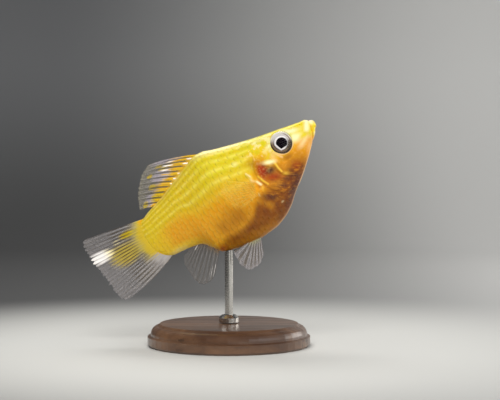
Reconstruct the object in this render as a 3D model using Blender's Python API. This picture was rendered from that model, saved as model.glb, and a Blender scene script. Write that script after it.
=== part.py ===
"""Golden sailfin molly, a life-size still model that swims upward on a plain display stand.

The fish is drawn in its own frame, as vectors (s, h, y) in millimetres: s runs back from the
snout along the body's axis, h up from that axis and y to the fish's left. place() turns them
into the model's frame: metres, +X ahead, +Y left, +Z up, with z = 0 under the stand's base.
"""

import math

import bmesh
import bpy
from mathutils import Vector
from mathutils.bvhtree import BVHTree

MM = 0.001
GAP = 0.3
PITCH = math.radians(34.4)
SNOUT_X = 23.5
SNOUT_Z = 59.8
SWAY = 2.6
SWAY_START = 20.0
TOTAL_LENGTH = 70.8

# Side outline: distance behind the snout, height of the back and of the belly
BACK = ((0.0, 1.3), (0.7, 1.65), (2.3, 2.65), (3.4, 3.05), (5.0, 3.4), (9.0, 4.5), (15.0, 6.1),
        (21.0, 8.0), (27.0, 10.1), (30.0, 11.3), (32.0, 11.5), (35.0, 10.7), (41.0, 8.8),
        (46.0, 7.1), (50.0, 6.2), (53.0, 5.5), (58.0, 5.3))
BELLY = ((0.0, -0.3), (0.7, -0.75), (1.4, -1.7), (2.0, -2.3), (3.2, -3.25), (7.0, -6.5),
         (11.0, -9.5), (15.0, -12.2), (18.0, -14.5), (21.0, -16.0), (25.0, -17.0), (29.0, -17.1),
         (33.0, -16.6), (37.0, -15.5), (40.3, -14.1), (41.9, -11.6), (43.4, -9.5), (46.7, -8.4),
         (50.0, -7.8), (54.0, -7.2), (58.0, -6.9))
HALF_WIDTH = ((0.0, 1.1), (0.7, 1.6), (2.4, 2.4), (4.5, 3.1), (7.5, 3.9),
              (10.7, 4.5), (15.0, 5.3), (20.0, 6.0), (26.0, 6.5), (31.0, 6.3), (37.0, 5.3),
              (43.0, 3.9), (49.0, 2.7), (53.0, 1.9), (58.0, 0.75))
# How far down the side the section is widest, and how full it is above and below that
WIDEST = ((0.0, 0.45), (4.0, 0.4), (10.7, 0.38), (18.0, 0.45), (27.0, 0.52), (40.0, 0.5),
          (58.0, 0.5))
TOP_FULLNESS = ((0.0, 0.6), (9.0, 0.55), (16.0, 0.72), (26.0, 1.0), (34.0, 1.08), (58.0, 0.95))
BELLY_FULLNESS = ((0.0, 0.7), (6.0, 0.95), (14.0, 1.05), (22.0, 0.88), (34.0, 0.85), (44.0, 1.0),
                  (58.0, 0.95))
# The gill cover's rear edge: share of the way down the side, distance behind the snout
GILL_EDGE = ((0.0, 16.6), (0.2, 17.5), (0.33, 19.5), (0.45, 21.1), (0.56, 20.4), (0.66, 18.7),
             (0.82, 15.4), (1.0, 12.9))
GILL_STEP = 0.32
# The snout's tip is rounded off ahead of this distance, towards this height
NOSE, NOSE_HEIGHT, NOSE_START = 0.7, 0.55, 0.03
TRUNK_END = 49.0
FLESH_END = 56.6
FLESH_END_ROUNDING = 3.0

SIDE_POINTS = 24
HEAD_RINGS = 30
HEAD_RING_EASE = 1.45
TRUNK_RINGS = 22
STALK_RINGS = 6

EYE_S, EYE_H = 10.7, 1.2
EYE_RADIUS = 3.05
EYE_BULGE = 0.95
EYE_DEPTH = 2.0
EYE_SINK = 0.3
EYE_AHEAD = math.radians(9.0)
EYE_UP = math.radians(7.0)

MOUTH_TOP = (1.2, 1.9)
MOUTH_CORNER = (2.3, -1.2)
MOUTH_OPENING = 0.3
MOUTH_DEPTH = 0.7
LIP_RADIUS = 0.46
LIP_SINK = 0.28
LIP_END_SINK = 0.12
UPPER_LIP_BACK = 0.6
LOWER_LIP_AHEAD = 0.55
NOSTRILS = ((3.9, 0.2, 0.3), (6.4, 0.19, 0.36))

# Fins: half the membrane's thickness, the rays on it, and how far a fin's root stays off the body
MEMBRANE = 0.27
RAY_HEIGHT = 0.2
RAY_WIDTH = 0.2
NOTCH = 0.02
ROOT_GAP = GAP + 0.05
CAUDAL_ROOT = 54.0

BASE_RADIUS, BASE_HEIGHT = 22.0, 6.0
BASE_EDGE, BASE_BAND, BASE_STEP, BASE_RIM = 0.6, 2.6, 0.8, 0.6
COVE_DEPTH, COVE_STEPS = 1.9, 6
ROD_RADIUS = 1.1
COLLAR_RADIUS, COLLAR_HEIGHT, COLLAR_EDGE = 2.7, 2.0, 0.8


def curve(points, x):
    """The smooth curve through points that never overshoots them, read at x."""
    x = min(max(x, points[0][0]), points[-1][0])
    steps = [b[0] - a[0] for a, b in zip(points, points[1:])]
    slopes = [(b[1] - a[1]) / step for a, b, step in zip(points, points[1:], steps)]
    tangents = [slopes[0]]
    for before, after, short, long in zip(slopes, slopes[1:], steps, steps[1:]):
        if before * after <= 0.0:
            tangents.append(0.0)
        else:
            first, second = 2.0 * long + short, long + 2.0 * short
            tangents.append((first + second) / (first / before + second / after))
    tangents.append(slopes[-1])
    i = next(k for k in range(len(steps)) if x <= points[k + 1][0])
    u = (x - points[i][0]) / steps[i]
    rise, ease = u * u * (3.0 - 2.0 * u), u * (1.0 - u)
    return (points[i][1] * (1.0 - rise) + points[i + 1][1] * rise
            + steps[i] * ease * ((1.0 - u) * tangents[i] - u * tangents[i + 1]))


def smooth_step(low, high, x):
    u = min(max((x - low) / (high - low), 0.0), 1.0)
    return u * u * (3.0 - 2.0 * u)


def mix(a, b, share):
    return a + (b - a) * share


def place(point):
    """A point of the fish's frame in the model's frame, in metres."""
    s, h, y = point
    sway = SWAY * (max(s - SWAY_START, 0.0) / (TOTAL_LENGTH - SWAY_START)) ** 2
    x = SNOUT_X - s * math.cos(PITCH) - h * math.sin(PITCH)
    z = SNOUT_Z - s * math.sin(PITCH) + h * math.cos(PITCH)
    return Vector((x, y + sway, z)) * MM


def skin_point(s, t, side=1):
    """The body's surface at distance s, a share t of the way from the back to the belly."""
    if s < NOSE:
        rounding = math.sqrt(max(1.0 - (1.0 - s / NOSE) ** 2, 0.0))
        behind = skin_point(NOSE, t, side)
        return Vector((s, mix(NOSE_HEIGHT, behind.y, rounding), behind.z * rounding))
    back, belly = curve(BACK, s), curve(BELLY, s)
    widest = curve(WIDEST, s)
    if t < widest:
        turn, fullness = 0.5 * t / widest, curve(TOP_FULLNESS, s)
    else:
        turn, fullness = 0.5 + 0.5 * (t - widest) / (1.0 - widest), curve(BELLY_FULLNESS, s)
    y = curve(HALF_WIDTH, s) * max(math.sin(math.pi * turn), 0.0) ** fullness
    return Vector((s, mix(back, belly, (1.0 - math.cos(math.pi * t)) / 2.0), side * y))


def skin_normal(s, t, side=1):
    """The outward direction of the body's surface there."""
    step = 0.01
    along = skin_point(s + step, t, side) - skin_point(s - step, t, side)
    around = skin_point(s, t + step, side) - skin_point(s, t - step, side)
    normal = along.cross(around).normalized()
    return normal if normal.z * side > 0.0 else -normal


def share_at_height(s, h):
    """How far down the side the surface at distance s has the height h."""
    back, belly = curve(BACK, s), curve(BELLY, s)
    level = min(max((back - h) / (back - belly), 0.0), 1.0)
    return math.acos(1.0 - 2.0 * level) / math.pi


def flesh_end(h):
    """Where the flesh of the tail stalk ends and the tail fin begins, at height h."""
    top, bottom = curve(BACK, FLESH_END), curve(BELLY, FLESH_END)
    off_centre = (h - (top + bottom) / 2.0) / ((top - bottom) / 2.0)
    return FLESH_END - FLESH_END_ROUNDING * off_centre ** 2


def material(name, colour, roughness, metallic=0.0, alpha=1.0):
    made = bpy.data.materials.get(name)
    if made is None:
        made = bpy.data.materials.new(name)
        made.use_nodes = True
        surface = made.node_tree.nodes["Principled BSDF"]
        surface.inputs["Base Color"].default_value = (*colour, 1.0)
        surface.inputs["Roughness"].default_value = roughness
        surface.inputs["Metallic"].default_value = metallic
        surface.inputs["Alpha"].default_value = alpha
        made.diffuse_color = (*colour, alpha)
    return made


def flesh_material():
    return material("golden_skin", (0.80, 0.50, 0.05), 0.35)


def fin_material():
    return material("clear_fin", (0.75, 0.68, 0.42), 0.3, alpha=0.7)


def new_object(name, mesh, finish):
    made = bpy.data.objects.new(name, mesh)
    bpy.context.scene.collection.objects.link(made)
    mesh.materials.append(finish)
    return made


def loft(name, rings, finish):
    """A closed solid through rings of points, each running down the left side and up the right.

    Each end is closed by a ladder of faces from side to side, so it may curve as its ring does.
    """
    count = len(rings[0])
    half = count // 2
    bm = bmesh.new()
    rows = [[bm.verts.new(place(p)) for p in ring] for ring in rings]
    for row, after in zip(rows, rows[1:]):
        for k in range(count):
            n = (k + 1) % count
            for corners in ((row[k], row[n], after[n]), (row[k], after[n], after[k])):
                bm.faces.new(corners)
    for row in (rows[0], rows[-1]):
        for k in range(half):
            left, lower = row[k], row[k + 1]
            right, right_lower = row[-k % count], row[-(k + 1) % count]
            if left is not right:
                bm.faces.new((left, lower, right))
            if lower is not right_lower:
                bm.faces.new((lower, right_lower, right))
    bmesh.ops.recalc_face_normals(bm, faces=bm.faces)
    mesh = bpy.data.meshes.new(name)
    bm.to_mesh(mesh)
    bm.free()
    mesh.shade_smooth()
    mesh.set_sharp_from_angle(angle=math.radians(40.0))
    return new_object(name, mesh, finish)


def body_ring(distance_at, proud=lambda s, t: 0.0):
    """One ring round the body, at the distance that distance_at gives for each share t."""
    left, right = [], []
    for k in range(SIDE_POINTS + 1):
        t = k / SIDE_POINTS
        s = distance_at(t)
        across, up, out = skin_point(s, t)
        out += proud(s, t)
        left.append(Vector((across, up, out)))
        right.append(Vector((across, up, -out)))
    return left + right[-2:0:-1]


def apply_modifiers(obj):
    graph = bpy.context.evaluated_depsgraph_get()
    mesh = bpy.data.meshes.new_from_object(obj.evaluated_get(graph))
    obj.modifiers.clear()
    obj.data = mesh


def keep_largest_surface(obj):
    """Drops every closed surface of the mesh but the one with the most faces."""
    bm = bmesh.new()
    bm.from_mesh(obj.data)
    left, largest = set(bm.faces), set()
    while left:
        found, edge = set(), [left.pop()]
        while edge:
            face = edge.pop()
            found.add(face)
            near = {f for e in face.edges for f in e.link_faces} & left
            left -= near
            edge.extend(near)
        largest = max(largest, found, key=len)
    bmesh.ops.delete(bm, geom=[f for f in bm.faces if f not in largest], context="FACES")
    bm.to_mesh(obj.data)
    bm.free()


def combine(obj, others, operation):
    """Joins or cuts obj with the other closed objects, which are then removed."""
    group = bpy.data.collections.new(obj.name + "_" + operation.lower())
    bpy.context.scene.collection.children.link(group)
    for other in others:
        group.objects.link(other)
    change = obj.modifiers.new(operation.lower(), "BOOLEAN")
    change.operation = operation
    change.operand_type = "COLLECTION"
    change.collection = group
    change.solver = "EXACT"
    apply_modifiers(obj)
    for other in others:
        bpy.data.objects.remove(other)
    bpy.data.collections.remove(group)
    keep_largest_surface(obj)


def ellipsoid(name, centre, axes, radii, finish, rings=9, sides=22, sink=0.0):
    """A closed ball with one radius along each axis; the last axis has two, out and in."""
    across, up, out = axes
    outer, inner = radii[2]
    bm = bmesh.new()
    poles = [bm.verts.new(place(centre + out * (outer - sink))),
             bm.verts.new(place(centre - out * (inner + sink)))]
    rows = []
    for j in range(1, rings):
        polar = math.pi * j / rings
        depth = (outer if polar < math.pi / 2.0 else inner) * math.cos(polar) - sink
        row = []
        for k in range(sides):
            turn = 2.0 * math.pi * k / sides
            flat = across * (radii[0] * math.cos(turn)) + up * (radii[1] * math.sin(turn))
            row.append(bm.verts.new(place(centre + flat * math.sin(polar) + out * depth)))
        rows.append(row)
    for k in range(sides):
        n = (k + 1) % sides
        bm.faces.new((poles[0], rows[0][k], rows[0][n]))
        bm.faces.new((poles[1], rows[-1][n], rows[-1][k]))
        for row, after in zip(rows, rows[1:]):
            bm.faces.new((row[k], after[k], after[n]))
            bm.faces.new((row[k], after[n], row[n]))
    bmesh.ops.recalc_face_normals(bm, faces=bm.faces)
    mesh = bpy.data.meshes.new(name)
    bm.to_mesh(mesh)
    bm.free()
    mesh.shade_smooth()
    return new_object(name, mesh, finish)


def tube(name, path, radius_at, finish, sides=10):
    """A closed tube along path, in the fish's frame, with the radius that radius_at gives."""
    bm = bmesh.new()
    rows = []
    for i, centre in enumerate(path):
        ahead = (path[min(i + 1, len(path) - 1)] - path[max(i - 1, 0)]).normalized()
        first = ahead.cross(Vector((0.3, 1.0, 0.2))).normalized()
        second = ahead.cross(first)
        radius = radius_at(i / (len(path) - 1))
        row = []
        for k in range(sides):
            turn = 2.0 * math.pi * k / sides
            spoke = first * math.cos(turn) + second * math.sin(turn)
            row.append(bm.verts.new(place(centre + spoke * radius)))
        rows.append(row)
    for row, after in zip(rows, rows[1:]):
        for k in range(sides):
            n = (k + 1) % sides
            bm.faces.new((row[k], row[n], after[n], after[k]))
    bm.faces.new(rows[0])
    bm.faces.new(rows[-1])
    bmesh.ops.recalc_face_normals(bm, faces=bm.faces)
    mesh = bpy.data.meshes.new(name)
    bm.to_mesh(mesh)
    bm.free()
    mesh.shade_smooth()
    return new_object(name, mesh, finish)


def eye_axes(side):
    """The directions across, up and out of the eye on one side."""
    out = Vector((-math.sin(EYE_AHEAD), math.sin(EYE_UP), side)).normalized()
    across = Vector((1.0, 0.0, 0.0))
    across = (across - out * across.dot(out)).normalized()
    return across, out.cross(across), out


def eye_ball(name, side, grown, finish):
    t = share_at_height(EYE_S, EYE_H)
    centre = skin_point(EYE_S, t, side)
    flat = EYE_RADIUS + grown
    depth = (EYE_BULGE + grown, EYE_DEPTH + grown)
    return ellipsoid(name, centre, eye_axes(side), (flat, flat, depth), finish, sink=EYE_SINK)


def mouth_line(shift, steps=12):
    """Points and outward normals along the mouth, from one corner over the snout to the other.

    shift moves the line back along the snout, or ahead where it is negative.
    """
    top, corner = Vector((*MOUTH_TOP, 0.0)), Vector((*MOUTH_CORNER, 0.0))
    lean = (corner.x - top.x) / (corner.y - top.y)

    def on_line(t, side):
        s = top.x + shift
        for _ in range(12):
            s = top.x + shift + (skin_point(s, t)[1] - top.y) * lean
        return skin_point(s, t, side), skin_normal(s, max(t, 0.03), side)

    low = share_at_height(corner.x + shift, corner.y)
    line = []
    for k in range(-steps, steps + 1):
        line.append(on_line(low * abs(k) / steps, 1 if k >= 0 else -1))
    middle = line[steps][1]
    line[steps] = (line[steps][0], Vector((middle.x, middle.y, 0.0)).normalized())
    return line


def lip(name, shift):
    """One lip: a tube over the snout beside the mouth's opening, tapered to both corners."""
    line = mouth_line(shift)
    path = []
    for i, (point, out) in enumerate(line):
        aside = abs(2.0 * i / (len(line) - 1) - 1.0)
        path.append(point - out * (LIP_SINK + LIP_END_SINK * aside ** 4))
    return tube(name, path, lambda u: LIP_RADIUS * (1.0 - 0.4 * abs(2.0 * u - 1.0) ** 4),
                flesh_material())


def mouth_cutter():
    """The ribbon that parts the lips, from corner to corner over the top of the snout."""
    line = mouth_line(0.0)
    bm = bmesh.new()
    rows = []
    for i, (point, out) in enumerate(line):
        ahead = line[min(i + 1, len(line) - 1)][0] - line[max(i - 1, 0)][0]
        across = ahead.cross(out).normalized() * (MOUTH_OPENING / 2.0)
        high, low = point + out, point - out * MOUTH_DEPTH
        rows.append([bm.verts.new(place(p))
                     for p in (high - across, high + across, low + across, low - across)])
    for row, after in zip(rows, rows[1:]):
        for k in range(4):
            n = (k + 1) % 4
            bm.faces.new((row[k], row[n], after[n]))
            bm.faces.new((row[k], after[n], after[k]))
    bm.faces.new(rows[0])
    bm.faces.new(rows[-1])
    bmesh.ops.recalc_face_normals(bm, faces=bm.faces)
    mesh = bpy.data.meshes.new("mouth_cutter")
    bm.to_mesh(mesh)
    bm.free()
    return new_object("mouth_cutter", mesh, flesh_material())


def nostril_cutters():
    made = []
    for side in (1, -1):
        for s, t, radius in NOSTRILS:
            centre, out = skin_point(s, t, side), skin_normal(s, t, side)
            across = out.orthogonal().normalized()
            axes = (across, out.cross(across), out)
            made.append(ellipsoid("nostril_cutter", centre, axes,
                                  (radius, radius, (0.6, 0.6)), flesh_material(), 6, 8))
    return made


def make_head():
    """The head back to the gill cover's edge, with lips, mouth, nostrils and eye sockets."""
    def proud(s, t):
        edge = curve(GILL_EDGE, t)
        return (GILL_STEP * smooth_step(edge - 3.0, edge - 0.3, s)
                * smooth_step(0.12, 0.32, t) * (1.0 - smooth_step(0.88, 1.0, t)))

    rings = []
    for j in range(HEAD_RINGS + 1):
        share = (j / HEAD_RINGS) ** HEAD_RING_EASE
        rings.append(body_ring(lambda t: mix(NOSE_START, curve(GILL_EDGE, t), share), proud))
    head = loft("head", rings, flesh_material())
    combine(head, [lip("lip_upper", UPPER_LIP_BACK), lip("lip_lower", -LOWER_LIP_AHEAD)], "UNION")
    cutters = [mouth_cutter(), *nostril_cutters()]
    cutters += [eye_ball("socket", side, GAP, flesh_material()) for side in (1, -1)]
    combine(head, cutters, "DIFFERENCE")
    return head


def make_trunk():
    rings = []
    for j in range(TRUNK_RINGS + 1):
        share = j / TRUNK_RINGS
        rings.append(body_ring(lambda t: mix(curve(GILL_EDGE, t) + GAP, TRUNK_END, share)))
    return loft("trunk", rings, flesh_material())


def make_tail_stalk():
    rings = []
    start = TRUNK_END + GAP
    for j in range(STALK_RINGS + 1):
        share = j / STALK_RINGS

        def distance_at(t):
            end = flesh_end(skin_point(FLESH_END, t)[1])
            return mix(start, end, share)

        rings.append(body_ring(distance_at))
    return loft("tail_stalk", rings, flesh_material())


def fin(name, rays, root_at, tip_at, rows, side_at, bend_at, foot=0.45):
    """A fin whose rays stand up as ridges on both faces of its membrane.

    root_at(a) and tip_at(a) give the ends of a ray at share a across the fin. At share b of the
    way out, side_at(a, b) is the direction of the thickness and bend_at(a, b) is how far the
    fin leaves the straight line. foot is half the root's thickness.
    """
    columns = []
    for k in range(rays):
        centre = (k + 0.5) / rays
        offset = RAY_WIDTH / rays
        columns += [(centre - offset, 0.0), (centre, 1.0), (centre + offset, 0.0)]
    columns = [(0.0, 0.0), *columns, (1.0, 0.0)]
    rings = []
    for j in range(rows + 1):
        b = j / rows
        left, right = [], []
        for a, ridge in columns:
            root, tip = root_at(a), tip_at(a)
            point = root + (tip - root) * (b * (1.0 + NOTCH * ridge * b))
            side = side_at(a, b)
            thick = mix(MEMBRANE, 0.6 * MEMBRANE, smooth_step(0.75, 1.0, b))
            thick = max(thick, mix(foot, MEMBRANE, smooth_step(0.0, 0.3, b)))
            thick += RAY_HEIGHT * ridge * (1.0 - 0.75 * b) * smooth_step(0.0, 0.08, b)
            point = point + bend_at(a, b)
            left.append(point + side * thick)
            right.append(point - side * thick)
        rings.append(left + right[::-1])
    return loft_sheet(name, rings, fin_material())


def loft_sheet(name, rings, finish):
    """A closed solid through flat rings that run out along one face and back along the other."""
    count = len(rings[0])
    half = count // 2
    bm = bmesh.new()
    rows = [[bm.verts.new(place(p)) for p in ring] for ring in rings]
    for row, after in zip(rows, rows[1:]):
        for k in range(count):
            n = (k + 1) % count
            if k < half - 1:
                pair = ((row[k], row[n], after[n]), (row[k], after[n], after[k]))
            else:
                pair = ((row[k], row[n], after[k]), (row[n], after[n], after[k]))
            for corners in pair:
                bm.faces.new(corners)
    for row in (rows[0], rows[-1]):
        for k in range(half - 1):
            bm.faces.new((row[k], row[k + 1], row[count - 2 - k]))
            bm.faces.new((row[k], row[count - 2 - k], row[count - 1 - k]))
    bmesh.ops.recalc_face_normals(bm, faces=bm.faces)
    mesh = bpy.data.meshes.new(name)
    bm.to_mesh(mesh)
    bm.free()
    mesh.shade_smooth()
    mesh.set_sharp_from_angle(angle=math.radians(50.0))
    return new_object(name, mesh, finish)


def sideways(a, b):
    return Vector((0.0, 0.0, 1.0))


def wave(b, width, across=Vector((0.0, 0.0, 0.0))):
    """A bend to the side that grows towards the tips, with a bow across that is 0 at both ends."""
    return Vector((0.0, 0.0, width * b * b)) + across * (4.0 * b * (1.0 - b))


def off_line(points, s, away):
    """A point of the side outline moved off the body by away, square to the outline."""
    step = 0.05
    ahead = Vector((2.0 * step, curve(points, s + step) - curve(points, s - step), 0.0))
    normal = Vector((-ahead.y, ahead.x, 0.0)).normalized()
    return Vector((s, curve(points, s), 0.0)) + normal * away


def fan(points):
    """A function of the share across a fin, through (share, s, h) points of its free edge."""
    s_at = [(a, s) for a, s, h in points]
    h_at = [(a, h) for a, s, h in points]
    return lambda a: Vector((curve(s_at, a), curve(h_at, a), 0.0))


def make_dorsal_fin():
    edge = fan(((0.0, 43.4, 16.5), (0.25, 46.0, 15.6), (0.5, 48.4, 13.7), (0.75, 50.8, 10.9),
                (1.0, 52.4, 7.7)))
    bow = Vector((-0.25, 0.5, 0.0))
    return fin("dorsal_fin", 14, lambda a: off_line(BACK, mix(30.0, 48.4, a), ROOT_GAP), edge,
               6, sideways, lambda a, b: wave(b, 0.5 * math.sin(3.0 * a + 0.6), bow * (1.0 - a)))


def make_caudal_fin():
    edge = fan(((0.0, 69.4, 9.2), (0.08, 70.5, 7.8), (0.5, 70.8, -0.8), (0.92, 70.4, -9.0),
                (1.0, 69.0, -10.5)))

    def root(a):
        h = mix(curve(BACK, CAUDAL_ROOT), curve(BELLY, CAUDAL_ROOT), a)
        return Vector((flesh_end(h) + ROOT_GAP, h, 0.0))

    return fin("caudal_fin", 18, root, edge, 6, sideways,
               lambda a, b: wave(b, 0.8 * math.sin(5.0 * a + 0.4)), foot=0.75)


def make_anal_fin():
    edge = fan(((0.0, 45.6, -18.3), (0.12, 47.6, -19.0), (0.28, 49.8, -18.4), (0.5, 50.9, -15.3),
                (0.8, 50.7, -11.4), (1.0, 49.3, -9.0)))
    return fin("anal_fin", 9, lambda a: off_line(BELLY, mix(40.8, 45.6, a), -ROOT_GAP), edge,
               5, sideways, lambda a, b: wave(b, 0.4 * math.cos(3.0 * a)))


def make_pelvic_fin(side):
    """A pelvic fin, hung from the belly beside the middle line and splayed a little."""
    name = "pelvic_fin_left" if side > 0 else "pelvic_fin_right"
    t, splay, inner_splay = 0.92, 1.1, 1.7
    edge = fan(((0.0, 31.4, -20.9), (0.3, 34.2, -22.5), (0.55, 36.5, -22.4), (0.8, 38.1, -19.4),
                (1.0, 37.8, -15.8)))

    def root(a):
        s = mix(29.2, 32.6, a)
        return skin_point(s, t, side) + skin_normal(s, t, side) * ROOT_GAP

    def tip(a):
        point = edge(a)
        point.z = side * (abs(root(a).z) + mix(splay, inner_splay, a))
        return point

    along = Vector((0.0, 0.15, side)).normalized()
    return fin(name, 6, root, tip, 4, lambda a, b: along,
               lambda a, b: wave(b, side * 0.25 * math.sin(4.0 * a)))


def make_pectoral_fin(side):
    """A pectoral fin, fanned back from the flank behind the gill cover and held off it."""
    name = "pectoral_fin_left" if side > 0 else "pectoral_fin_right"
    reach = 4.0
    edge = fan(((0.0, 28.4, 1.4), (0.3, 30.9, -0.2), (0.6, 31.6, -2.8), (0.85, 30.8, -5.6),
                (1.0, 28.8, -7.6)))

    def surface(a, shift=0.0):
        s = mix(22.1, 23.5, a) + shift
        t = share_at_height(s, mix(-3.9, -7.0, a))
        return skin_point(s, t, side) + skin_normal(s, t, side) * (ROOT_GAP + 0.05)

    def tip(a):
        point = edge(a)
        point.z = side * (abs(surface(a).z) + reach)
        return point

    def thickness(a, b):
        flat = (surface(a, 0.2) - surface(a, -0.2)).normalized()
        ray = (tip(a) - surface(a)).normalized()
        across = (tip(0.9) - tip(0.1)).normalized()
        free = ray.cross(across).normalized()
        if free.z * side > 0.0:
            free = -free
        return (flat * (1.0 - smooth_step(0.0, 0.15, b)) + free).normalized() if b else flat

    return fin(name, 10, surface, tip, 5, thickness,
               lambda a, b: wave(b, side * 0.3 * math.sin(4.0 * a)), foot=0.4)


def lathe(name, profile, sides, finish, ring=False):
    """A solid turned about the vertical axis; profile runs (radius, height) from the bottom.

    A ring's profile goes all the way round and its last point joins the first.
    """
    bm = bmesh.new()
    rows = []
    for radius, z in profile:
        row = []
        for k in range(sides):
            turn = 2.0 * math.pi * k / sides
            row.append(bm.verts.new(Vector((radius * math.cos(turn), radius * math.sin(turn), z))
                                    * MM))
        rows.append(row)
    for row, after in zip(rows, rows[1:] + rows[:1] if ring else rows[1:]):
        for k in range(sides):
            n = (k + 1) % sides
            bm.faces.new((row[k], row[n], after[n], after[k]))
    if not ring:
        bm.faces.new(rows[0])
        bm.faces.new(rows[-1])
    bmesh.ops.recalc_face_normals(bm, faces=bm.faces)
    mesh = bpy.data.meshes.new(name)
    bm.to_mesh(mesh)
    bm.free()
    mesh.shade_smooth()
    mesh.set_sharp_from_angle(angle=math.radians(30.0))
    return new_object(name, mesh, finish)


def make_stand(trunk):
    """A turned wooden base, a metal rod up to the belly and a collar at the rod's foot."""
    wood = material("stand_wood", (0.10, 0.05, 0.028), 0.4)
    steel = material("stand_metal", (0.62, 0.60, 0.56), 0.25, 1.0)
    profile = [(BASE_RADIUS - BASE_EDGE, 0.0), (BASE_RADIUS, BASE_EDGE), (BASE_RADIUS, BASE_BAND)]
    shoulder = BASE_RADIUS - BASE_STEP
    cove_low, cove_high = BASE_BAND + BASE_EDGE / 2.0, BASE_HEIGHT - BASE_RIM
    for k in range(COVE_STEPS + 1):
        turn = math.pi / 2.0 * k / COVE_STEPS
        profile.append((shoulder - COVE_DEPTH * (1.0 - math.cos(turn)),
                        mix(cove_low, cove_high, math.sin(turn))))
    profile.append((shoulder - COVE_DEPTH - BASE_RIM, BASE_HEIGHT))
    lathe("stand_base", profile, 48, wood)
    inner = ROD_RADIUS + GAP
    low = BASE_HEIGHT + GAP
    high = low + COLLAR_HEIGHT
    lathe("stand_collar", [(inner, low), (COLLAR_RADIUS, low), (COLLAR_RADIUS, high - COLLAR_EDGE),
                           (COLLAR_RADIUS - COLLAR_EDGE, high), (inner, high)], 24, steel, ring=True)
    middle, top = mix(low, SNOUT_Z, 0.15), mix(low, SNOUT_Z, 0.25)
    rod = lathe("stand_rod", [(ROD_RADIUS, low), (ROD_RADIUS, middle), (ROD_RADIUS, top)], 20, steel)
    belly = BVHTree.FromPolygons([v.co for v in trunk.data.vertices],
                                 [p.vertices for p in trunk.data.polygons])
    for vertex in rod.data.vertices:
        if vertex.co.z > middle * MM * 1.01:
            start = Vector((vertex.co.x, vertex.co.y, middle * MM))
            vertex.co.z = belly.ray_cast(start, Vector((0.0, 0.0, 1.0)))[0].z - GAP * MM


def main():
    for obj in list(bpy.data.objects):
        bpy.data.objects.remove(obj)
    make_head()
    trunk = make_trunk()
    make_tail_stalk()
    make_dorsal_fin()
    make_caudal_fin()
    make_anal_fin()
    eye_finish = material("eye", (0.55, 0.55, 0.55), 0.15)
    for side, word in ((1, "left"), (-1, "right")):
        make_pelvic_fin(side)
        make_pectoral_fin(side)
        eye_ball("eye_" + word, side, 0.0, eye_finish)
    make_stand(trunk)


main()
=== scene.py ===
"""The looks of a golden sailfin molly that swims upward on a plain display stand.

The fish is drawn in its own frame, as vectors (s, h, y) in millimetres: s runs back from the
snout along the body's axis, h up from that axis and y to the fish's left. place() turns them
into the row's frame, in metres. Arrays of such vectors have them along their last axis.
"""

import math

import bmesh
import bpy
import numpy as np
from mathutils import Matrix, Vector


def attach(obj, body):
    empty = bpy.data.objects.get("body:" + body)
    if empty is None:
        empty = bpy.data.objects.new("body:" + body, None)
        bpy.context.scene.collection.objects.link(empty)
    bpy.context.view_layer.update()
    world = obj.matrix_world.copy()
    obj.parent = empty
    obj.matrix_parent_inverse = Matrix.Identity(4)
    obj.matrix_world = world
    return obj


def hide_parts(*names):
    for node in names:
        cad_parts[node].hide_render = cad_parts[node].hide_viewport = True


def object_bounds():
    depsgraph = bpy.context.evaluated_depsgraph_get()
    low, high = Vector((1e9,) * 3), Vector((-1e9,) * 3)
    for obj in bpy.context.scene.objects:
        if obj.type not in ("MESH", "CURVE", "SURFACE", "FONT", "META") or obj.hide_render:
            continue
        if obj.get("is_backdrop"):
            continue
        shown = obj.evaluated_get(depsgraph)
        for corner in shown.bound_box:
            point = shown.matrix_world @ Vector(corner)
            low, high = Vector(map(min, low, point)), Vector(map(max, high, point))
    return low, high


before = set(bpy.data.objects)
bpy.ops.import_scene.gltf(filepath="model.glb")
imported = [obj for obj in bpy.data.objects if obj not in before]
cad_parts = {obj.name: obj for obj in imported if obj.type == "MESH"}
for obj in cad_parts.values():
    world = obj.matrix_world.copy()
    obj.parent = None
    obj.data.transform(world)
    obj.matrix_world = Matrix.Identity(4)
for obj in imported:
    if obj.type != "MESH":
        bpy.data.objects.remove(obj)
CAD_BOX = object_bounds()

MM = 0.001
PITCH = math.radians(34.4)
SNOUT_X, SNOUT_Z = 23.5, 59.8
SWAY, SWAY_START, TOTAL_LENGTH = 2.6, 20.0, 70.8

# By the distance behind the snout: the height of the back and of the belly, half the width, the
# share of the way down where the fish is widest, and how full its sides are above that and below
BACK = ((0.0, 1.3), (0.7, 1.65), (2.3, 2.65), (3.4, 3.05), (5.0, 3.4), (9.0, 4.5), (15.0, 6.1),
        (21.0, 8.0), (27.0, 10.1), (30.0, 11.3), (32.0, 11.5), (35.0, 10.7), (41.0, 8.8),
        (46.0, 7.1), (50.0, 6.2), (53.0, 5.5), (58.0, 5.3))
BELLY = ((0.0, -0.3), (0.7, -0.75), (1.4, -1.7), (2.0, -2.3), (3.2, -3.25), (7.0, -6.5),
         (11.0, -9.5), (15.0, -12.2), (18.0, -14.5), (21.0, -16.0), (25.0, -17.0), (29.0, -17.1),
         (33.0, -16.6), (37.0, -15.5), (40.3, -14.1), (41.9, -11.6), (43.4, -9.5), (46.7, -8.4),
         (50.0, -7.8), (54.0, -7.2), (58.0, -6.9))
HALF_WIDTH = ((0.0, 1.1), (0.7, 1.6), (2.4, 2.4), (4.5, 3.1), (7.5, 3.9), (10.7, 4.5),
              (15.0, 5.3), (20.0, 6.0), (26.0, 6.5), (31.0, 6.3), (37.0, 5.3), (43.0, 3.9),
              (49.0, 2.7), (53.0, 1.9), (58.0, 0.75))
WIDEST = ((0.0, 0.45), (4.0, 0.4), (10.7, 0.38), (18.0, 0.45), (27.0, 0.52), (40.0, 0.5),
          (58.0, 0.5))
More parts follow.
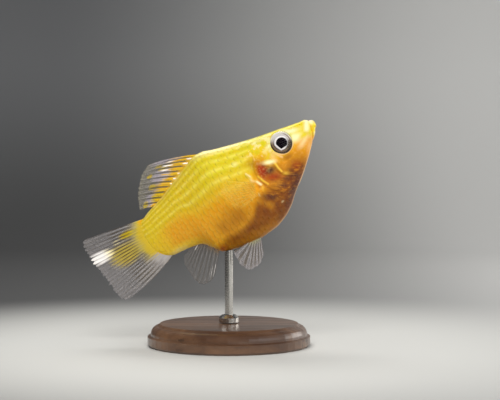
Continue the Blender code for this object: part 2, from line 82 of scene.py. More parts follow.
TOP_FULLNESS = ((0.0, 0.6), (9.0, 0.55), (16.0, 0.72), (26.0, 1.0), (34.0, 1.08), (58.0, 0.95))
BELLY_FULLNESS = ((0.0, 0.7), (6.0, 0.95), (14.0, 1.05), (22.0, 0.88), (34.0, 0.85), (44.0, 1.0),
                  (58.0, 0.95))
NOSE, NOSE_HEIGHT, NOSE_START = 0.7, 0.55, 0.005
# The gill cover's rear edge: share of the way down the side, distance behind the snout
GILL_EDGE = ((0.0, 16.6), (0.2, 17.5), (0.33, 19.5), (0.45, 21.1), (0.56, 20.4), (0.66, 18.7),
             (0.82, 15.4), (1.0, 12.9))
# The ridge behind the cheek: height, distance behind the snout
CHEEK_RIDGE = ((-8.8, 10.6), (-7.8, 13.0), (-6.3, 14.6), (-4.0, 15.4), (-1.0, 15.3), (2.0, 14.7),
               (4.2, 13.6))
FLESH_END, FLESH_END_ROUNDING = 56.6, 3.0
THROAT_FOLD = 0.85
# Above this height the flank is golden, below it brown
BROWN_EDGE = ((0.0, -2.0), (4.5, -3.2), (9.0, -3.9), (15.0, -5.6), (21.0, -7.0), (24.0, -7.4),
              (26.0, -8.8), (28.6, -11.0), (33.0, -11.8), (37.0, -11.6), (39.4, -13.0),
              (42.0, -15.0), (58.0, -16.0))

MOUTH_TOP, MOUTH_CORNER = (1.2, 1.9), (2.3, -1.2)
NOSTRILS = ((3.9, 0.2, 0.2), (6.4, 0.19, 0.24))
EYE_S, EYE_H, EYE_RADIUS = 10.7, 1.2, 3.08
EYE_AHEAD, EYE_UP = math.radians(9.0), math.radians(7.0)

SIDE_POINTS = 112
MOUTH_RINGS, HEAD_RINGS, TRUNK_RINGS = 22, 220, 112
SEED = 5
SIDE_WORD = {1: "left", -1: "right"}


def curve(points, x):
    """The smooth curve through points that never overshoots them, read at x."""
    steps = [b[0] - a[0] for a, b in zip(points, points[1:])]
    slopes = [(b[1] - a[1]) / step for a, b, step in zip(points, points[1:], steps)]
    tangents = [slopes[0]]
    for before, after, short, long in zip(slopes, slopes[1:], steps, steps[1:]):
        if before * after <= 0.0:
            tangents.append(0.0)
        else:
            first, second = 2.0 * long + short, long + 2.0 * short
            tangents.append((first + second) / (first / before + second / after))
    tangents.append(slopes[-1])
    i = next(k for k in range(len(steps)) if x <= points[k + 1][0])
    u = (x - points[i][0]) / steps[i]
    rise, ease = u * u * (3.0 - 2.0 * u), u * (1.0 - u)
    return (points[i][1] * (1.0 - rise) + points[i + 1][1] * rise
            + steps[i] * ease * ((1.0 - u) * tangents[i] - u * tangents[i + 1]))


def profile(points):
    """The curve through points, as a function that also reads whole arrays."""
    at = np.linspace(points[0][0], points[-1][0], 901)
    values = np.array([curve(points, x) for x in at])
    return lambda x: np.interp(x, at, values)


back_at, belly_at, width_at = profile(BACK), profile(BELLY), profile(HALF_WIDTH)
widest_at, top_fullness_at = profile(WIDEST), profile(TOP_FULLNESS)
belly_fullness_at, gill_edge_at = profile(BELLY_FULLNESS), profile(GILL_EDGE)
cheek_ridge_at, brown_edge_at = profile(CHEEK_RIDGE), profile(BROWN_EDGE)


def smooth_step(low, high, x):
    """Eases from 0 at low to 1 at high, which may also be the smaller one."""
    u = np.clip((np.asarray(x, float) - low) / (high - low), 0.0, 1.0)
    return u * u * (3.0 - 2.0 * u)


def mix(a, b, share):
    return a + (b - a) * share


def bell(x, width):
    """A bump of height 1 at x = 0 that is a third as high at x = width."""
    return np.exp(-(x / width) ** 2)


def point_of(s, h, y):
    """Vectors of the fish's frame from their three parts."""
    return np.stack(np.broadcast_arrays(np.asarray(s, float), h, y), axis=-1)


def unit(vectors):
    return vectors / np.linalg.norm(vectors, axis=-1, keepdims=True)


def place(points):
    """Points of the fish's frame in the row's frame, in metres."""
    s, h, y = points[..., 0], points[..., 1], points[..., 2]
    sway = SWAY * (np.maximum(s - SWAY_START, 0.0) / (TOTAL_LENGTH - SWAY_START)) ** 2
    x = SNOUT_X - s * math.cos(PITCH) - h * math.sin(PITCH)
    z = SNOUT_Z - s * math.sin(PITCH) + h * math.cos(PITCH)
    return np.stack([x, y + sway, z], axis=-1) * MM


def flank(s, turn):
    """The plain surface of the body at distance s; turn is 0 on the back and 1 under the belly
    on the left, and -1 there on the right."""
    s, turn = np.broadcast_arrays(np.asarray(s, float), turn)
    turn = (turn + 1.0) % 2.0 - 1.0
    t, side = np.abs(turn), np.where(turn < 0.0, -1.0, 1.0)
    behind = np.maximum(s, NOSE)
    back, belly, widest = back_at(behind), belly_at(behind), widest_at(behind)
    above = t < widest
    bend = np.where(above, 0.5 * t / widest, 0.5 + 0.5 * (t - widest) / (1.0 - widest))
    fullness = np.where(above, top_fullness_at(behind), belly_fullness_at(behind))
    y = width_at(behind) * np.maximum(np.sin(math.pi * bend), 0.0) ** fullness
    h = mix(back, belly, (1.0 - np.cos(math.pi * t)) / 2.0)
    rounding = np.sqrt(np.clip(1.0 - (1.0 - np.minimum(s, NOSE) / NOSE) ** 2, 0.0, 1.0))
    return point_of(s, mix(NOSE_HEIGHT, h, rounding), side * y * rounding)


def flank_normal(s, turn):
    """The outward direction of the plain surface there."""
    step = 0.004
    s = np.maximum(np.asarray(s, float), NOSE_START)
    ahead = np.maximum(s - step * 5.0, 0.0)
    along = flank(s + step * 5.0, turn) - flank(ahead, turn)
    around = flank(s, turn + step) - flank(s, turn - step)
    return unit(np.cross(around, along))


def level_at(s, h):
    """The share of the height from the back down to the belly."""
    return (back_at(s) - h) / (back_at(s) - belly_at(s))


def share_at_height(s, h):
    """How far down the side the surface at distance s has the height h."""
    return np.arccos(1.0 - 2.0 * np.clip(level_at(s, h), 0.0, 1.0)) / math.pi


def flesh_end(h):
    """Where the flesh of the tail stalk ends, at height h."""
    top, bottom = back_at(FLESH_END), belly_at(FLESH_END)
    return FLESH_END - FLESH_END_ROUNDING * ((h - (top + bottom) / 2.0) / ((top - bottom) / 2.0)) ** 2


def mouth_at(t):
    """The distance behind the snout of the mouth's line, and straight below its corner."""
    lean = (MOUTH_CORNER[0] - MOUTH_TOP[0]) / (MOUTH_CORNER[1] - MOUTH_TOP[1])
    s = np.full_like(np.asarray(t, float), MOUTH_TOP[0])
    for _ in range(12):
        h = np.maximum(flank(s, t)[..., 1], MOUTH_CORNER[1])
        s = MOUTH_TOP[0] + (h - MOUTH_TOP[1]) * lean
    return s


def eye_frame(side):
    """The eye's centre and its directions back, up and out of the head, on one side."""
    centre = flank(EYE_S, side * share_at_height(EYE_S, EYE_H))
    out = unit(np.array([-math.sin(EYE_AHEAD), math.sin(EYE_UP), side]))
    across = unit(np.array([1.0, 0.0, 0.0]) - out * out[0])
    up = unit(np.array([0.0, 1.0, 0.0]) - out * out[1] - across * across[1])
    return centre, across, up, out


def relief(s, turn):
    """How far the skin stands out from the plain surface: mouth, lips, nostrils, eye socket,
    cheek, gill cover and throat."""
    plain = flank(s, turn)
    h, t = plain[..., 1], np.abs(turn)
    folded = np.concatenate([plain[..., :2], np.abs(plain[..., 2:])], axis=-1)
    behind = (s - mouth_at(t)) * 0.94
    down = (MOUTH_TOP[1] - h) / (MOUTH_TOP[1] - MOUTH_CORNER[1])
    cleft = smooth_step(1.06, 0.9, down) * mix(0.3, 1.0, smooth_step(0.0, 0.3, down))
    lips = smooth_step(1.25, 0.75, down)
    rise = -0.36 * bell(behind, 0.13) * cleft
    rise += (0.16 * bell(behind - 0.8, 0.6) + 0.04 * bell(behind + 0.42, 0.3)) * lips
    rise -= 0.12 * bell(behind - 2.3, 0.6) * smooth_step(1.1, 0.5, down)
    # The fold that runs down and back from the mouth's corner, and the jaw's own edge
    fold = s - (MOUTH_CORNER[0] + 0.45 * (MOUTH_CORNER[1] - h))
    below_corner = smooth_step(0.95, 1.15, down) * smooth_step(2.6, 1.7, down)
    beside_corner = smooth_step(0.2, 0.8, down) * smooth_step(2.0, 1.3, down)
    rise += 0.06 * bell(fold - 0.9, 0.6) * beside_corner - 0.12 * bell(fold, 0.22) * below_corner
    for place_s, share, radius in NOSTRILS:
        gap = np.linalg.norm(folded - flank(place_s, share), axis=-1)
        rise += 0.07 * bell(gap - radius * 1.7, radius * 0.6) - 0.5 * bell(gap, radius)
    centre, across, up, out = eye_frame(1)
    off = folded - centre
    ring = np.sqrt((off @ across) ** 2 + (off @ up) ** 2)
    socket = 0.1 * bell(ring - EYE_RADIUS - 0.37, 0.45)
    socket -= 1.5 * smooth_step(EYE_RADIUS + 0.02, EYE_RADIUS - 0.63, ring)
    rise += np.where(ring < 2.0 * EYE_RADIUS, socket, 0.0)
    # The cheek's ridge and the groove behind it
    ridge = (s - cheek_ridge_at(h)) * 0.9
    on_cheek = smooth_step(-9.0, -7.0, h) * smooth_step(1.0, -3.0, h) * (s < 18.0)
    rise += (0.1 * bell(ridge, 0.35) - 0.08 * bell(ridge - 0.6, 0.3)) * on_cheek
    # The gill cover stands proud and ends in a step
    past = s - gill_edge_at(t)
    cover = smooth_step(0.18, 0.5, t) * smooth_step(1.0, 0.88, t)
    rise += 0.2 * smooth_step(-3.4, -0.6, past) * smooth_step(0.3, -0.35, past) * cover
    rise -= 0.03 * bell(past - 0.3, 0.3) * cover
    rise += 0.09 * streak(plain, PECTORAL_RIM, 0.4) + 0.06 * streak(plain, COVER_LINE, 0.3)
    # Folds of the skin that stretches below the gill cover
    throat = smooth_step(0.68, 0.84, t) * smooth_step(-4.2, -3.4, past) * smooth_step(-0.2, -0.5, past)
    rise += 0.05 * np.cos(past * 2.0 * math.pi / THROAT_FOLD) * throat
    # The end of the flesh dives under the tail fin's root
    return rise - 0.28 * smooth_step(-1.8, 0.0, s - flesh_end(h))


def skin_surface(s, turn):
    return flank(s, turn) + flank_normal(s, turn) * relief(s, turn)[..., None]


# Lines on the head, as points (s, h): the yellow edges of cheek and gill cover, the painted shade
# under the cheek's painted gleam, the pale rim where the pectoral fin grows, the cleft between the
# lips and the pale band behind it, the fold under the eye and a lighter band across the throat
CHEEK_LINE = ((15.2, -2.4), (15.1, -4.0), (14.9, -5.2))
COVER_LINE = ((20.9, -2.8), (20.5, -4.4), (19.8, -5.9))
GLEAM_SHADE = ((18.4, -1.0), (16.9, -2.3))
PECTORAL_RIM = ((23.2, -0.4), (22.7, -1.5), (23.0, -2.8), (21.9, -3.8), (21.5, -4.9), (22.2, -5.7),
                (23.5, -7.2))
RIM_DASHES = ((0.75, 0.28, PECTORAL_RIM[:2]), (0.3, 0.32, PECTORAL_RIM[1:4]),
              (0.85, 0.3, PECTORAL_RIM[3:5]), (0.4, 0.26, ((23.3, -6.5), (23.5, -7.2))))
MOUTH_LINE = ((1.25, 0.9), (1.75, -0.4), (2.2, -1.5))
LIP_BAND = ((1.7, 2.1), (2.4, 1.2), (3.1, 0.3))
EYE_BAG = ((13.9, 0.2), (13.3, -1.0), (12.7, -2.1))
THROAT_BAND = ((24.8, -7.9), (23.3, -9.7), (22.4, -11.3))


def streak(points, path, width):
    """A soft line along a path of (s, h) on both sides."""
    flat = points[..., :2]
    nearest = np.full(flat.shape[:-1], 99.0)
    for a, b in zip(path, path[1:]):
        a, b = np.array(a), np.array(b)
        share = np.clip((flat - a) @ (b - a) / ((b - a) @ (b - a)), 0.0, 1.0)
        gap = np.linalg.norm(flat - a - share[..., None] * (b - a), axis=-1)
        nearest = np.minimum(nearest, gap)
    return bell(nearest, width)


# Markings: each is a share from 0 to 1 that a material mixes its colours by. Its soft oval spots
# are share, s, h, reach along and across, and any tilt, in degrees up towards the tail

GOLD_SPOTS = ((0.65, 18.6, 1.0, 3.6, 2.3),)
UMBER_SPOTS = ((0.5, 31.5, -9.0, 5.0, 3.4), (0.45, 35.5, -9.0, 3.0, 3.2),
               (0.8, 16.6, -5.8, 3.6, 2.6), (0.6, 11.4, -3.0, 2.0, 0.9, 10.0),
               (0.45, 20.4, 0.9, 1.8, 1.4))
EMBER_SPOTS = ((1.15, 19.1, -2.2, 1.8, 2.8, 10.0), (0.95, 17.8, -5.0, 2.4, 1.2, 30.0),
               (0.6, 10.6, -6.0, 1.6, 1.2, -40.0), (0.9, 40.0, -13.4, 1.3, 1.0),
               (0.5, 22.0, -5.4, 0.4, 0.5), (0.3, 2.2, -1.4, 0.3, 0.3))
# Painted shade on the throat and the front of the belly, and the dark gill blotch, a pigment
SHADE_AND_BLOTCH_SPOTS = ((0.95, 17.2, -3.3, 1.6, 1.0), (0.75, 12.2, -8.4, 2.2, 0.9, 40.0),
              (0.55, 16.8, -8.4, 1.5, 0.6, 30.0), (0.55, 14.8, -7.6, 0.9, 0.6, 30.0),
              (0.4, 12.5, -6.6, 1.5, 0.6, 30.0), (0.7, 20.8, -9.4, 2.2, 0.8, 40.0),
              (0.5, 18.5, -13.0, 2.6, 0.9, -38.0), (0.4, 21.2, -14.2, 2.5, 1.0, -35.0))
# Pale cream markings, with painted highlights on snout and gill cover and a painted glow under the stalk
PALE_AND_HIGHLIGHT_SPOTS = ((1.0, 6.7, 0.1, 2.1, 1.3, 20.0), (0.9, 7.2, 2.4, 2.8, 0.8, 20.0),
               (1.2, 0.9, 1.4, 0.9, 0.8), (0.8, 1.6, -2.0, 0.5, 0.5),
               (0.55, 5.4, -1.9, 2.2, 0.8, -20.0), (0.8, 14.2, 2.2, 0.9, 0.7),
               (1.3, 16.3, -1.3, 1.45, 0.5, 24.0), (0.35, 49.6, -7.4, 2.4, 0.7, 8.0),
               (0.5, 24.2, 3.4, 0.8, 0.6, 20.0), (0.5, 19.2, -12.0, 0.45, 0.25),
               (0.35, 15.5, 5.4, 5.0, 0.9, 20.0), (0.6, 14.3, 1.2, 0.5, 0.5))
BLUSH_SPOTS = ((0.5, 14.6, -0.7, 1.3, 0.8, -50.0), (0.35, 4.6, -3.5, 2.2, 0.7, -45.0))
# Golden yellow lines and spots, and a painted glow under the shaded tail stalk
GILT_AND_GLOW_SPOTS = ((0.55, 14.3, -6.2, 0.9, 0.5, 30.0), (0.6, 21.6, -6.0, 0.3, 0.8, 25.0),
              (0.25, 27.6, -2.4, 3.0, 2.0, 30.0), (0.9, 49.8, -7.3, 3.4, 0.9, 6.0))
FIBRE_SPOTS = ((18.0, -8.8, 4.2, 3.0, 40.0), (11.0, -7.0, 3.0, 1.6, 35.0))
# Where the yellow fades by the mouth, and the pale tone and painted highlights with it
MOUTH_GAP = ((4.5, -0.6, 1.7, 0.8), (4.5, -0.6, 1.5, 0.55))


def patch(points, s, h, long, tall, tilt=0.0):
    """A soft oval spot at (s, h) on both sides."""
    ds, dh = points[..., 0] - s, points[..., 1] - h
    lean = math.radians(tilt)
    along = ds * math.cos(lean) + dh * math.sin(lean)
    over = dh * math.cos(lean) - ds * math.sin(lean)
    return np.exp(-(along / long) ** 2 - (over / tall) ** 2)


def with_spots(marking, points, spots):
    """The marking, raised to each spot's share where that is more."""
    for share, *at in spots:
        marking = np.maximum(marking, share * patch(points, *at))
    return marking


def markings(points):
    """The skin's markings at points of the fish's frame, some carrying painted light and shade."""
    s, h = points[..., 0], points[..., 1]
    level = level_at(s, h)
    gold = smooth_step(0.2, 0.58, level) * smooth_step(4.0, 9.0, s - 2.0 * h)
    gold *= 1.0 - 0.6 * smooth_step(47.0, 54.0, s)
    gold = with_spots(np.maximum(gold, 0.3 * smooth_step(28.0, 40.0, s)), points, GOLD_SPOTS)
    gold *= 1.0 - 0.8 * patch(points, *MOUTH_GAP[0])
    gold = np.maximum(gold, 0.6 * streak(points, MOUTH_LINE, 0.25))
    soft = mix(3.0, 1.8, smooth_step(16.0, 26.0, s))
    umber = 0.95 * smooth_step(1.0, -1.0, (h - brown_edge_at(s)) / soft) * smooth_step(4.5, 11.5, s)
    umber *= 1.0 - 0.35 * streak(points, THROAT_BAND, 0.9)
    umber *= 1.0 - 0.35 * smooth_step(0.85, 0.97, level) * smooth_step(20.0, 26.0, s)
    # Painted shade under the throat, and under the gill cover's painted gleam
    shade_and_blotch = np.maximum(0.9 * smooth_step(0.82, 0.92, level) * bell(s - 14.5, 4.2),
                      0.55 * streak(points, GLEAM_SHADE, 0.22))
    # A painted highlight along the ridge of the back, ahead of the dorsal fin
    pale_and_highlight = 0.75 * smooth_step(0.07, 0.0, level) * smooth_step(14.0, 24.0, s)
    pale_and_highlight *= 1.0 - 0.8 * smooth_step(29.0, 34.0, s)
    for share, width, path in RIM_DASHES + ((1.0, 0.75, LIP_BAND),):
        pale_and_highlight = np.maximum(pale_and_highlight, share * streak(points, path, width))
    pale_and_highlight = with_spots(pale_and_highlight, points, PALE_AND_HIGHLIGHT_SPOTS) * (1.0 - 0.9 * patch(points, *MOUTH_GAP[1]))
    # A pale strip under chin and belly is painted rim light
    rim = mix(0.93, 0.972, smooth_step(5.0, 10.0, s))
    rim_light_strip = mix(0.95, 0.5, smooth_step(8.0, 14.0, s)) * smooth_step(30.0, 22.0, s)
    blush_and_rim_light = np.maximum(rim_light_strip * smooth_step(rim, 0.998, level), 0.7 * streak(points, EYE_BAG, 0.3))
    gilt_and_glow = 0.8 * np.maximum(streak(points, CHEEK_LINE, 0.26), streak(points, COVER_LINE, 0.26))
    # A painted glow along the underside of the tail stalk, which faces away from the lamps
    gilt_and_glow = np.maximum(gilt_and_glow, smooth_step(0.8, 0.93, level) * bell(s - 48.5, 5.5))
    nape = smooth_step(0.42, 0.1, level) * smooth_step(4.0, 8.0, s) * smooth_step(25.0, 17.0, s)
    return {"nape": nape, "fibre": sum(patch(points, *at) for at in FIBRE_SPOTS), "gold": gold,
            "umber": with_spots(umber, points, UMBER_SPOTS),
            "ember": with_spots(0.0, points, EMBER_SPOTS),
            "shade_and_blotch": with_spots(shade_and_blotch, points, SHADE_AND_BLOTCH_SPOTS), "pale_and_highlight": pale_and_highlight,
            "blush_and_rim_light": with_spots(blush_and_rim_light, points, BLUSH_SPOTS),
            "gilt_and_glow": with_spots(gilt_and_glow, points, GILT_AND_GLOW_SPOTS)}


def row_marks(s, h, turn, shine):
    """Painted sheen along the upper rows of scales, and painted shade in the furrows between them."""
    off_row = (turn * SCALE_ROWS / 2.0 + 0.5) % 1.0 - 0.5
    level = level_at(s, h)
    field = smooth_step(0.52, 0.3, level) * smooth_step(0.0, 2.5, s - gill_edge_at(np.abs(turn)))
    return {"row": bell(off_row, 0.17) * field * shine,
            "furrow_shade": bell(np.abs(off_row) - 0.5, 0.2) * field}


# Making of pieces

def grid_quads(rows, columns, closed=False):
    """The quads of rows by columns of points; a closed grid joins each row's ends."""
    across = columns if closed else columns - 1
    r, c = np.meshgrid(np.arange(rows - 1), np.arange(across), indexing="ij")
    n = (c + 1) % columns
    return np.stack([r * columns + c, r * columns + n, (r + 1) * columns + n, (r + 1) * columns + c],
                    axis=-1).reshape(-1, 4)


def make_piece(name, points, faces, material, attributes=None, uv=None, replaces=()):
    """A mesh piece from points of the fish's frame."""
    mesh = bpy.data.meshes.new(name)
    mesh.from_pydata(place(points.reshape(-1, 3)).tolist(), [], [list(face) for face in faces])
    bm = bmesh.new()
    bm.from_mesh(mesh)
    bmesh.ops.recalc_face_normals(bm, faces=bm.faces)
    bm.to_mesh(mesh)
    bm.free()
    for key, values in (attributes or {}).items():
        values = np.asarray(values, float)
        kind = "FLOAT_VECTOR" if values.ndim > 1 and values.shape[-1] == 3 else "FLOAT"
        layer = mesh.attributes.new(key, kind, "POINT")
        layer.data.foreach_set("vector" if kind == "FLOAT_VECTOR" else "value", values.ravel())
    if uv is not None:
        corners = np.empty(len(mesh.loops), dtype=np.int32)
        mesh.loops.foreach_get("vertex_index", corners)
        layer = mesh.uv_layers.new(name="OFBake")
        layer.data.foreach_set("uv", uv.reshape(-1, 2)[corners].ravel())
    mesh.shade_smooth()
    mesh.materials.append(material)
    piece = bpy.data.objects.new(name, mesh)
    bpy.context.scene.collection.objects.link(piece)
    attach(piece, "root")
    if replaces:
        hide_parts(*replaces)


# Materials

class Shader:
    """A material's node tree, with short ways to add the nodes that the materials share."""

    def __init__(self, name):
        self.material = bpy.data.materials.new(name)
        self.material.use_nodes = True
        self.nodes = self.material.node_tree.nodes
        self.links = self.material.node_tree.links
        self.surface = self.nodes["Principled BSDF"]
        self.output = self.nodes["Material Output"]

    def link(self, value, socket):
        """Sets a socket to a plain value, or links it to another socket."""
        if isinstance(value, bpy.types.NodeSocket):
            self.links.new(value, socket)
        elif value is not None:
            socket.default_value = value

    def set(self, **values):
        """Sets sockets of the surface by name, with _ for each space."""
        for name, value in values.items():
            self.link(value, self.surface.inputs[name.replace("_", " ")])

    def attribute(self, name, output="Fac"):
        node = self.nodes.new("ShaderNodeAttribute")
        node.attribute_name = name
        return node.outputs[output]

    def where(self):
        return self.nodes.new("ShaderNodeTexCoord").outputs["Object"]

    def math(self, operation, a, b=0.5, c=None, clamp=False):
        node = self.nodes.new("ShaderNodeMath")
        node.operation = operation
        node.use_clamp = clamp
        for value, socket in zip((a, b, c), node.inputs):
            self.link(value, socket)
        return node.outputs[0]

    def times(self, a, b):
        return self.math("MULTIPLY", a, b)

    def scaled(self, value, scale, offset):
        """value times scale, plus offset."""
        return self.math("MULTIPLY_ADD", value, scale, offset)

    def stretch(self, vector, scale):
        node = self.nodes.new("ShaderNodeVectorMath")
        node.operation = "MULTIPLY"
        self.link(vector, node.inputs[0])
        node.inputs[1].default_value = scale
        return node.outputs[0]

    def noise(self, scale, detail=3.0, vector=None, roughness=0.5, distortion=0.0):
        node = self.nodes.new("ShaderNodeTexNoise")
        self.link(vector if vector is not None else self.where(), node.inputs["Vector"])
        node.inputs["Scale"].default_value = scale
        node.inputs["Detail"].default_value = detail
        node.inputs["Roughness"].default_value = roughness
        node.inputs["Distortion"].default_value = distortion
        return node.outputs["Fac"]

    def step(self, value, low, high, out_low=0.0, out_high=1.0):
        """Eases value from out_low at low to out_high at high."""
        node = self.nodes.new("ShaderNodeMapRange")
        node.interpolation_type = "SMOOTHSTEP"
        for given, socket in zip((value, low, high, out_low, out_high), node.inputs):
            self.link(given, socket)
        return node.outputs[0]

    def mix(self, share, a, b, blend="MIX"):
        node = self.nodes.new("ShaderNodeMix")
        node.data_type = "RGBA"
        node.blend_type = blend
        self.link(share, node.inputs["Factor"])
        for value, socket in ((a, node.inputs[6]), (b, node.inputs[7])):
            self.link((*value, 1.0) if isinstance(value, tuple) else value, socket)
        return node.outputs[2]

    def bump(self, height, depth, strength=1.0):
        node = self.nodes.new("ShaderNodeBump")
        node.inputs["Distance"].default_value = depth
        node.inputs["Strength"].default_value = strength
        self.link(height, node.inputs["Height"])
        self.link(node.outputs["Normal"], self.surface.inputs["Normal"])


LEMON = (0.76, 0.60, 0.014)
LIME = (0.60, 0.54, 0.012)
FURROW_SHADE_TONE = (0.54, 0.36, 0.008)
ROW_SHEEN = (0.98, 0.88, 0.2)
STRAW = (0.95, 0.82, 0.3)
AMBER = (0.98, 0.76, 0.1)
GOLD = (0.80, 0.33, 0.008)
UMBER = (0.195, 0.049, 0.007)
EMBER = (0.36, 0.035, 0.005)
# Dark brown of the painted shade under throat and belly, and of the gill blotch
SHADE_AND_BLOTCH = (0.07, 0.02, 0.015)
# Cream for pale markings and for painted highlights
PALE_AND_HIGHLIGHT = (0.96, 0.87, 0.48)
# Peach for blushes, and for the painted rim light under chin and belly
BLUSH_AND_RIM_LIGHT = (0.92, 0.56, 0.26)
GILT_AND_GLOW = (0.92, 0.60, 0.05)
FIBRE_GLOW = (0.6, 0.24, 0.015)
FIBRE_SHADE = (0.11, 0.025, 0.01)
# Each marking's tone and how uneven its edge is, from the lowest layer up
LAYERS = (("gold", GOLD, 0.35), ("umber", UMBER, 0.4), ("ember", EMBER, 0.45), ("shade_and_blotch", SHADE_AND_BLOTCH, 0.4),
          ("gilt_and_glow", GILT_AND_GLOW, 0.4), ("blush_and_rim_light", BLUSH_AND_RIM_LIGHT, 0.3), ("pale_and_highlight", PALE_AND_HIGHLIGHT, 0.65))


def body_colour(shader):
    """The body's colours, mixed by its markings with a soft, uneven edge to each."""
    uneven = shader.noise(420.0, 4.0)
    colour = LEMON
    for name, tone, spread in LAYERS:
        mark = shader.attribute(name)
        shift = shader.scaled(uneven, spread, -0.5 * spread)
        share = shader.math("ADD", mark, shift, clamp=True)
        colour = shader.mix(shader.times(share, shader.step(mark, 0.0, 0.12)), colour, tone)
    blotch, nape = shader.noise(620.0, 2.0), shader.attribute("nape")
    for low, high, tone in ((0.52, 0.64, PALE_AND_HIGHLIGHT), (0.47, 0.36, LIME)):
        share = shader.times(nape, shader.step(blotch, low, high, 0.0, 0.6))
        colour = shader.mix(share, colour, tone)
    # Painted shade in the furrows between the upper scale rows, and painted sheen along the rows
    colour = shader.mix(shader.times(shader.attribute("furrow_shade"), 0.25), colour, FURROW_SHADE_TONE)
    row = shader.times(shader.attribute("row"), shader.step(uneven, 0.35, 0.6, 0.25, 0.6))
    return shader.mix(row, colour, ROW_SHEEN)


def skin_material():
    shader = Shader("skin")
    colour = body_colour(shader)
    mottle = shader.noise(1500.0, 3.0)
    fibres = shader.noise(1500.0, 3.0, shader.stretch(shader.where(), (0.25, 0.6, 1.0)), 0.6)
    for low, high, most, tone in ((0.48, 0.68, 0.7, FIBRE_GLOW), (0.46, 0.3, 0.8, FIBRE_SHADE)):
        share = shader.times(shader.attribute("fibre"), shader.step(fibres, low, high, 0.0, most))
        colour = shader.mix(share, colour, tone)
    pale = shader.step(shader.attribute("umber"), 0.0, 0.6, 0.16, 0.03)
    colour = shader.mix(shader.step(mottle, 0.45, 0.75, 0.0, pale), colour, STRAW)
    shader.set(Base_Color=colour, Metallic=0.08, Subsurface_Weight=0.2, Subsurface_Scale=0.0012,
               Subsurface_Radius=(1.0, 0.45, 0.12), Specular_IOR_Level=0.16, Coat_Weight=0.05,
               Coat_Roughness=0.12, Roughness=shader.step(mottle, 0.3, 0.7, 0.3, 0.42))
    shader.bump(shader.noise(2600.0, 2.0), 0.00002, 0.6)
    return shader.material


def scale_material():
    """Clear plates over the same markings, with fine rings of growth; the paler rim is partly painted
    light.
    """
    shader = Shader("scales")
    golden = shader.step(shader.attribute("umber"), 0.0, 0.5, 0.22, 0.02)
    rim = shader.times(shader.attribute("rim"), golden)
    rings = shader.math("SINE", shader.times(shader.attribute("circle"), 90.0))
    fine = shader.scaled(rings, 0.3, shader.noise(3000.0, 2.0))
    shader.set(Base_Color=shader.mix(rim, body_colour(shader), AMBER), Metallic=0.1,
               Subsurface_Weight=0.15, Subsurface_Scale=0.001, Subsurface_Radius=(1.0, 0.5, 0.12),
               Specular_IOR_Level=0.25, Coat_Weight=0.1, Coat_Roughness=0.12,
               Roughness=shader.step(fine, 0.3, 0.7, 0.28, 0.4))
    shader.bump(fine, 0.00001, 0.5)
    return shader.material


def make_skin(material):
    """One skin over head, trunk and tail stalk, whose rings follow the mouth and the gill cover."""
    t = np.linspace(0.0, 1.0, SIDE_POINTS + 1)
    turn = np.concatenate([t, -t[-2:0:-1]])
    share = np.abs(turn)
    mouth, gill = mouth_at(share), gill_edge_at(share)
    end = flesh_end(flank(FLESH_END, turn)[:, 1])
    ahead = mix(NOSE_START, mouth, (np.linspace(0.0, 1.0, MOUTH_RINGS, endpoint=False) ** 1.5)[:, None])
    x = np.linspace(0.0, 1.0, HEAD_RINGS, endpoint=False)
    head = mix(mouth, gill, (x - 0.6 * np.sin(2.0 * math.pi * x) / (2.0 * math.pi))[:, None])
    x = np.linspace(0.0, 1.0, TRUNK_RINGS)
    trunk = mix(gill, end, (x - 0.75 * np.sin(math.pi * x) / math.pi)[:, None])
    s = np.concatenate([ahead, head, trunk])
    rings = skin_surface(s, np.broadcast_to(turn, s.shape))
    count = len(turn)
    faces = grid_quads(len(s), count, closed=True).tolist()
    last = len(s) * count
    for hub, row in ((last, 0), (last + 1, last - count)):
        faces += [[hub, row + k, row + (k + 1) % count] for k in range(count)]
    hubs = np.array([[0.0, NOSE_HEIGHT, 0.0], [FLESH_END + 0.1, rings[-1, :, 1].mean(), 0.0]])
    points = np.concatenate([rings.reshape(-1, 3), hubs])
    turns = np.append(np.broadcast_to(turn, s.shape), [0.0, 0.0])
    tone = markings(points) | row_marks(points[:, 0], points[:, 1], turns, 0.8)
    make_piece("skin", points, faces, material, tone,
               replaces=("head", "trunk", "tail_stalk"))


# Scales

SCALE_STEP = 1.22
SCALE_ROWS = 26
SCALE_START, SCALE_END = 9.0, 56.0
SCALE_GRID = 9
UV_PATCH = 0.003
DORSAL_BASE = (29.2, 49.0)
ANAL_BASE = (40.0, 46.0)


def girth_at(s):
    """Half of the way round the body at distance s."""
    turn = np.linspace(0.0, 1.0, 60)
    ring = flank(s, turn)
    return np.linalg.norm(np.diff(ring, axis=0), axis=-1).sum()


def one_scale(s0, turn0, girth, size, lift):
    """The points of one scale: a thin, rounded plate whose front sinks into the skin."""
    u = np.linspace(0.0, 1.0, SCALE_GRID)[:, None]
    v = np.linspace(-1.0, 1.0, SCALE_GRID)[None, :]
    long = SCALE_STEP * 2.15 * size
    tall = 1.06 * girth / (SCALE_ROWS / 2.0) * 0.62 * size
    taper = np.sqrt(np.clip(1.0 - np.maximum((u - 0.42) / 0.58, 0.0) ** 2.4, 0.0, 1.0))
    front = 1.0 - 0.25 * np.clip(1.0 - u / 0.3, 0.0, 1.0) ** 2
    wide = np.maximum(taper * front, 0.04)
    s = s0 + (u - 0.5) * long + 0.0 * v
    turn = turn0 + v * wide * tall / girth
    base, out = flank(s, turn), flank_normal(s, turn)
    base = base + out * np.maximum(relief(s, turn), -0.2)[..., None]
    crown = 0.022 * (1.0 - v ** 2) * (1.0 - (2.0 * u - 1.0) ** 4)
    height = mix(-0.1, lift, u ** 0.8) + crown
    top = base + out * height[..., None]
    under = base + out * (height - mix(0.06, 0.05, u))[..., None]
    return top, under, u + 0.0 * v, v + 0.0 * u, turn


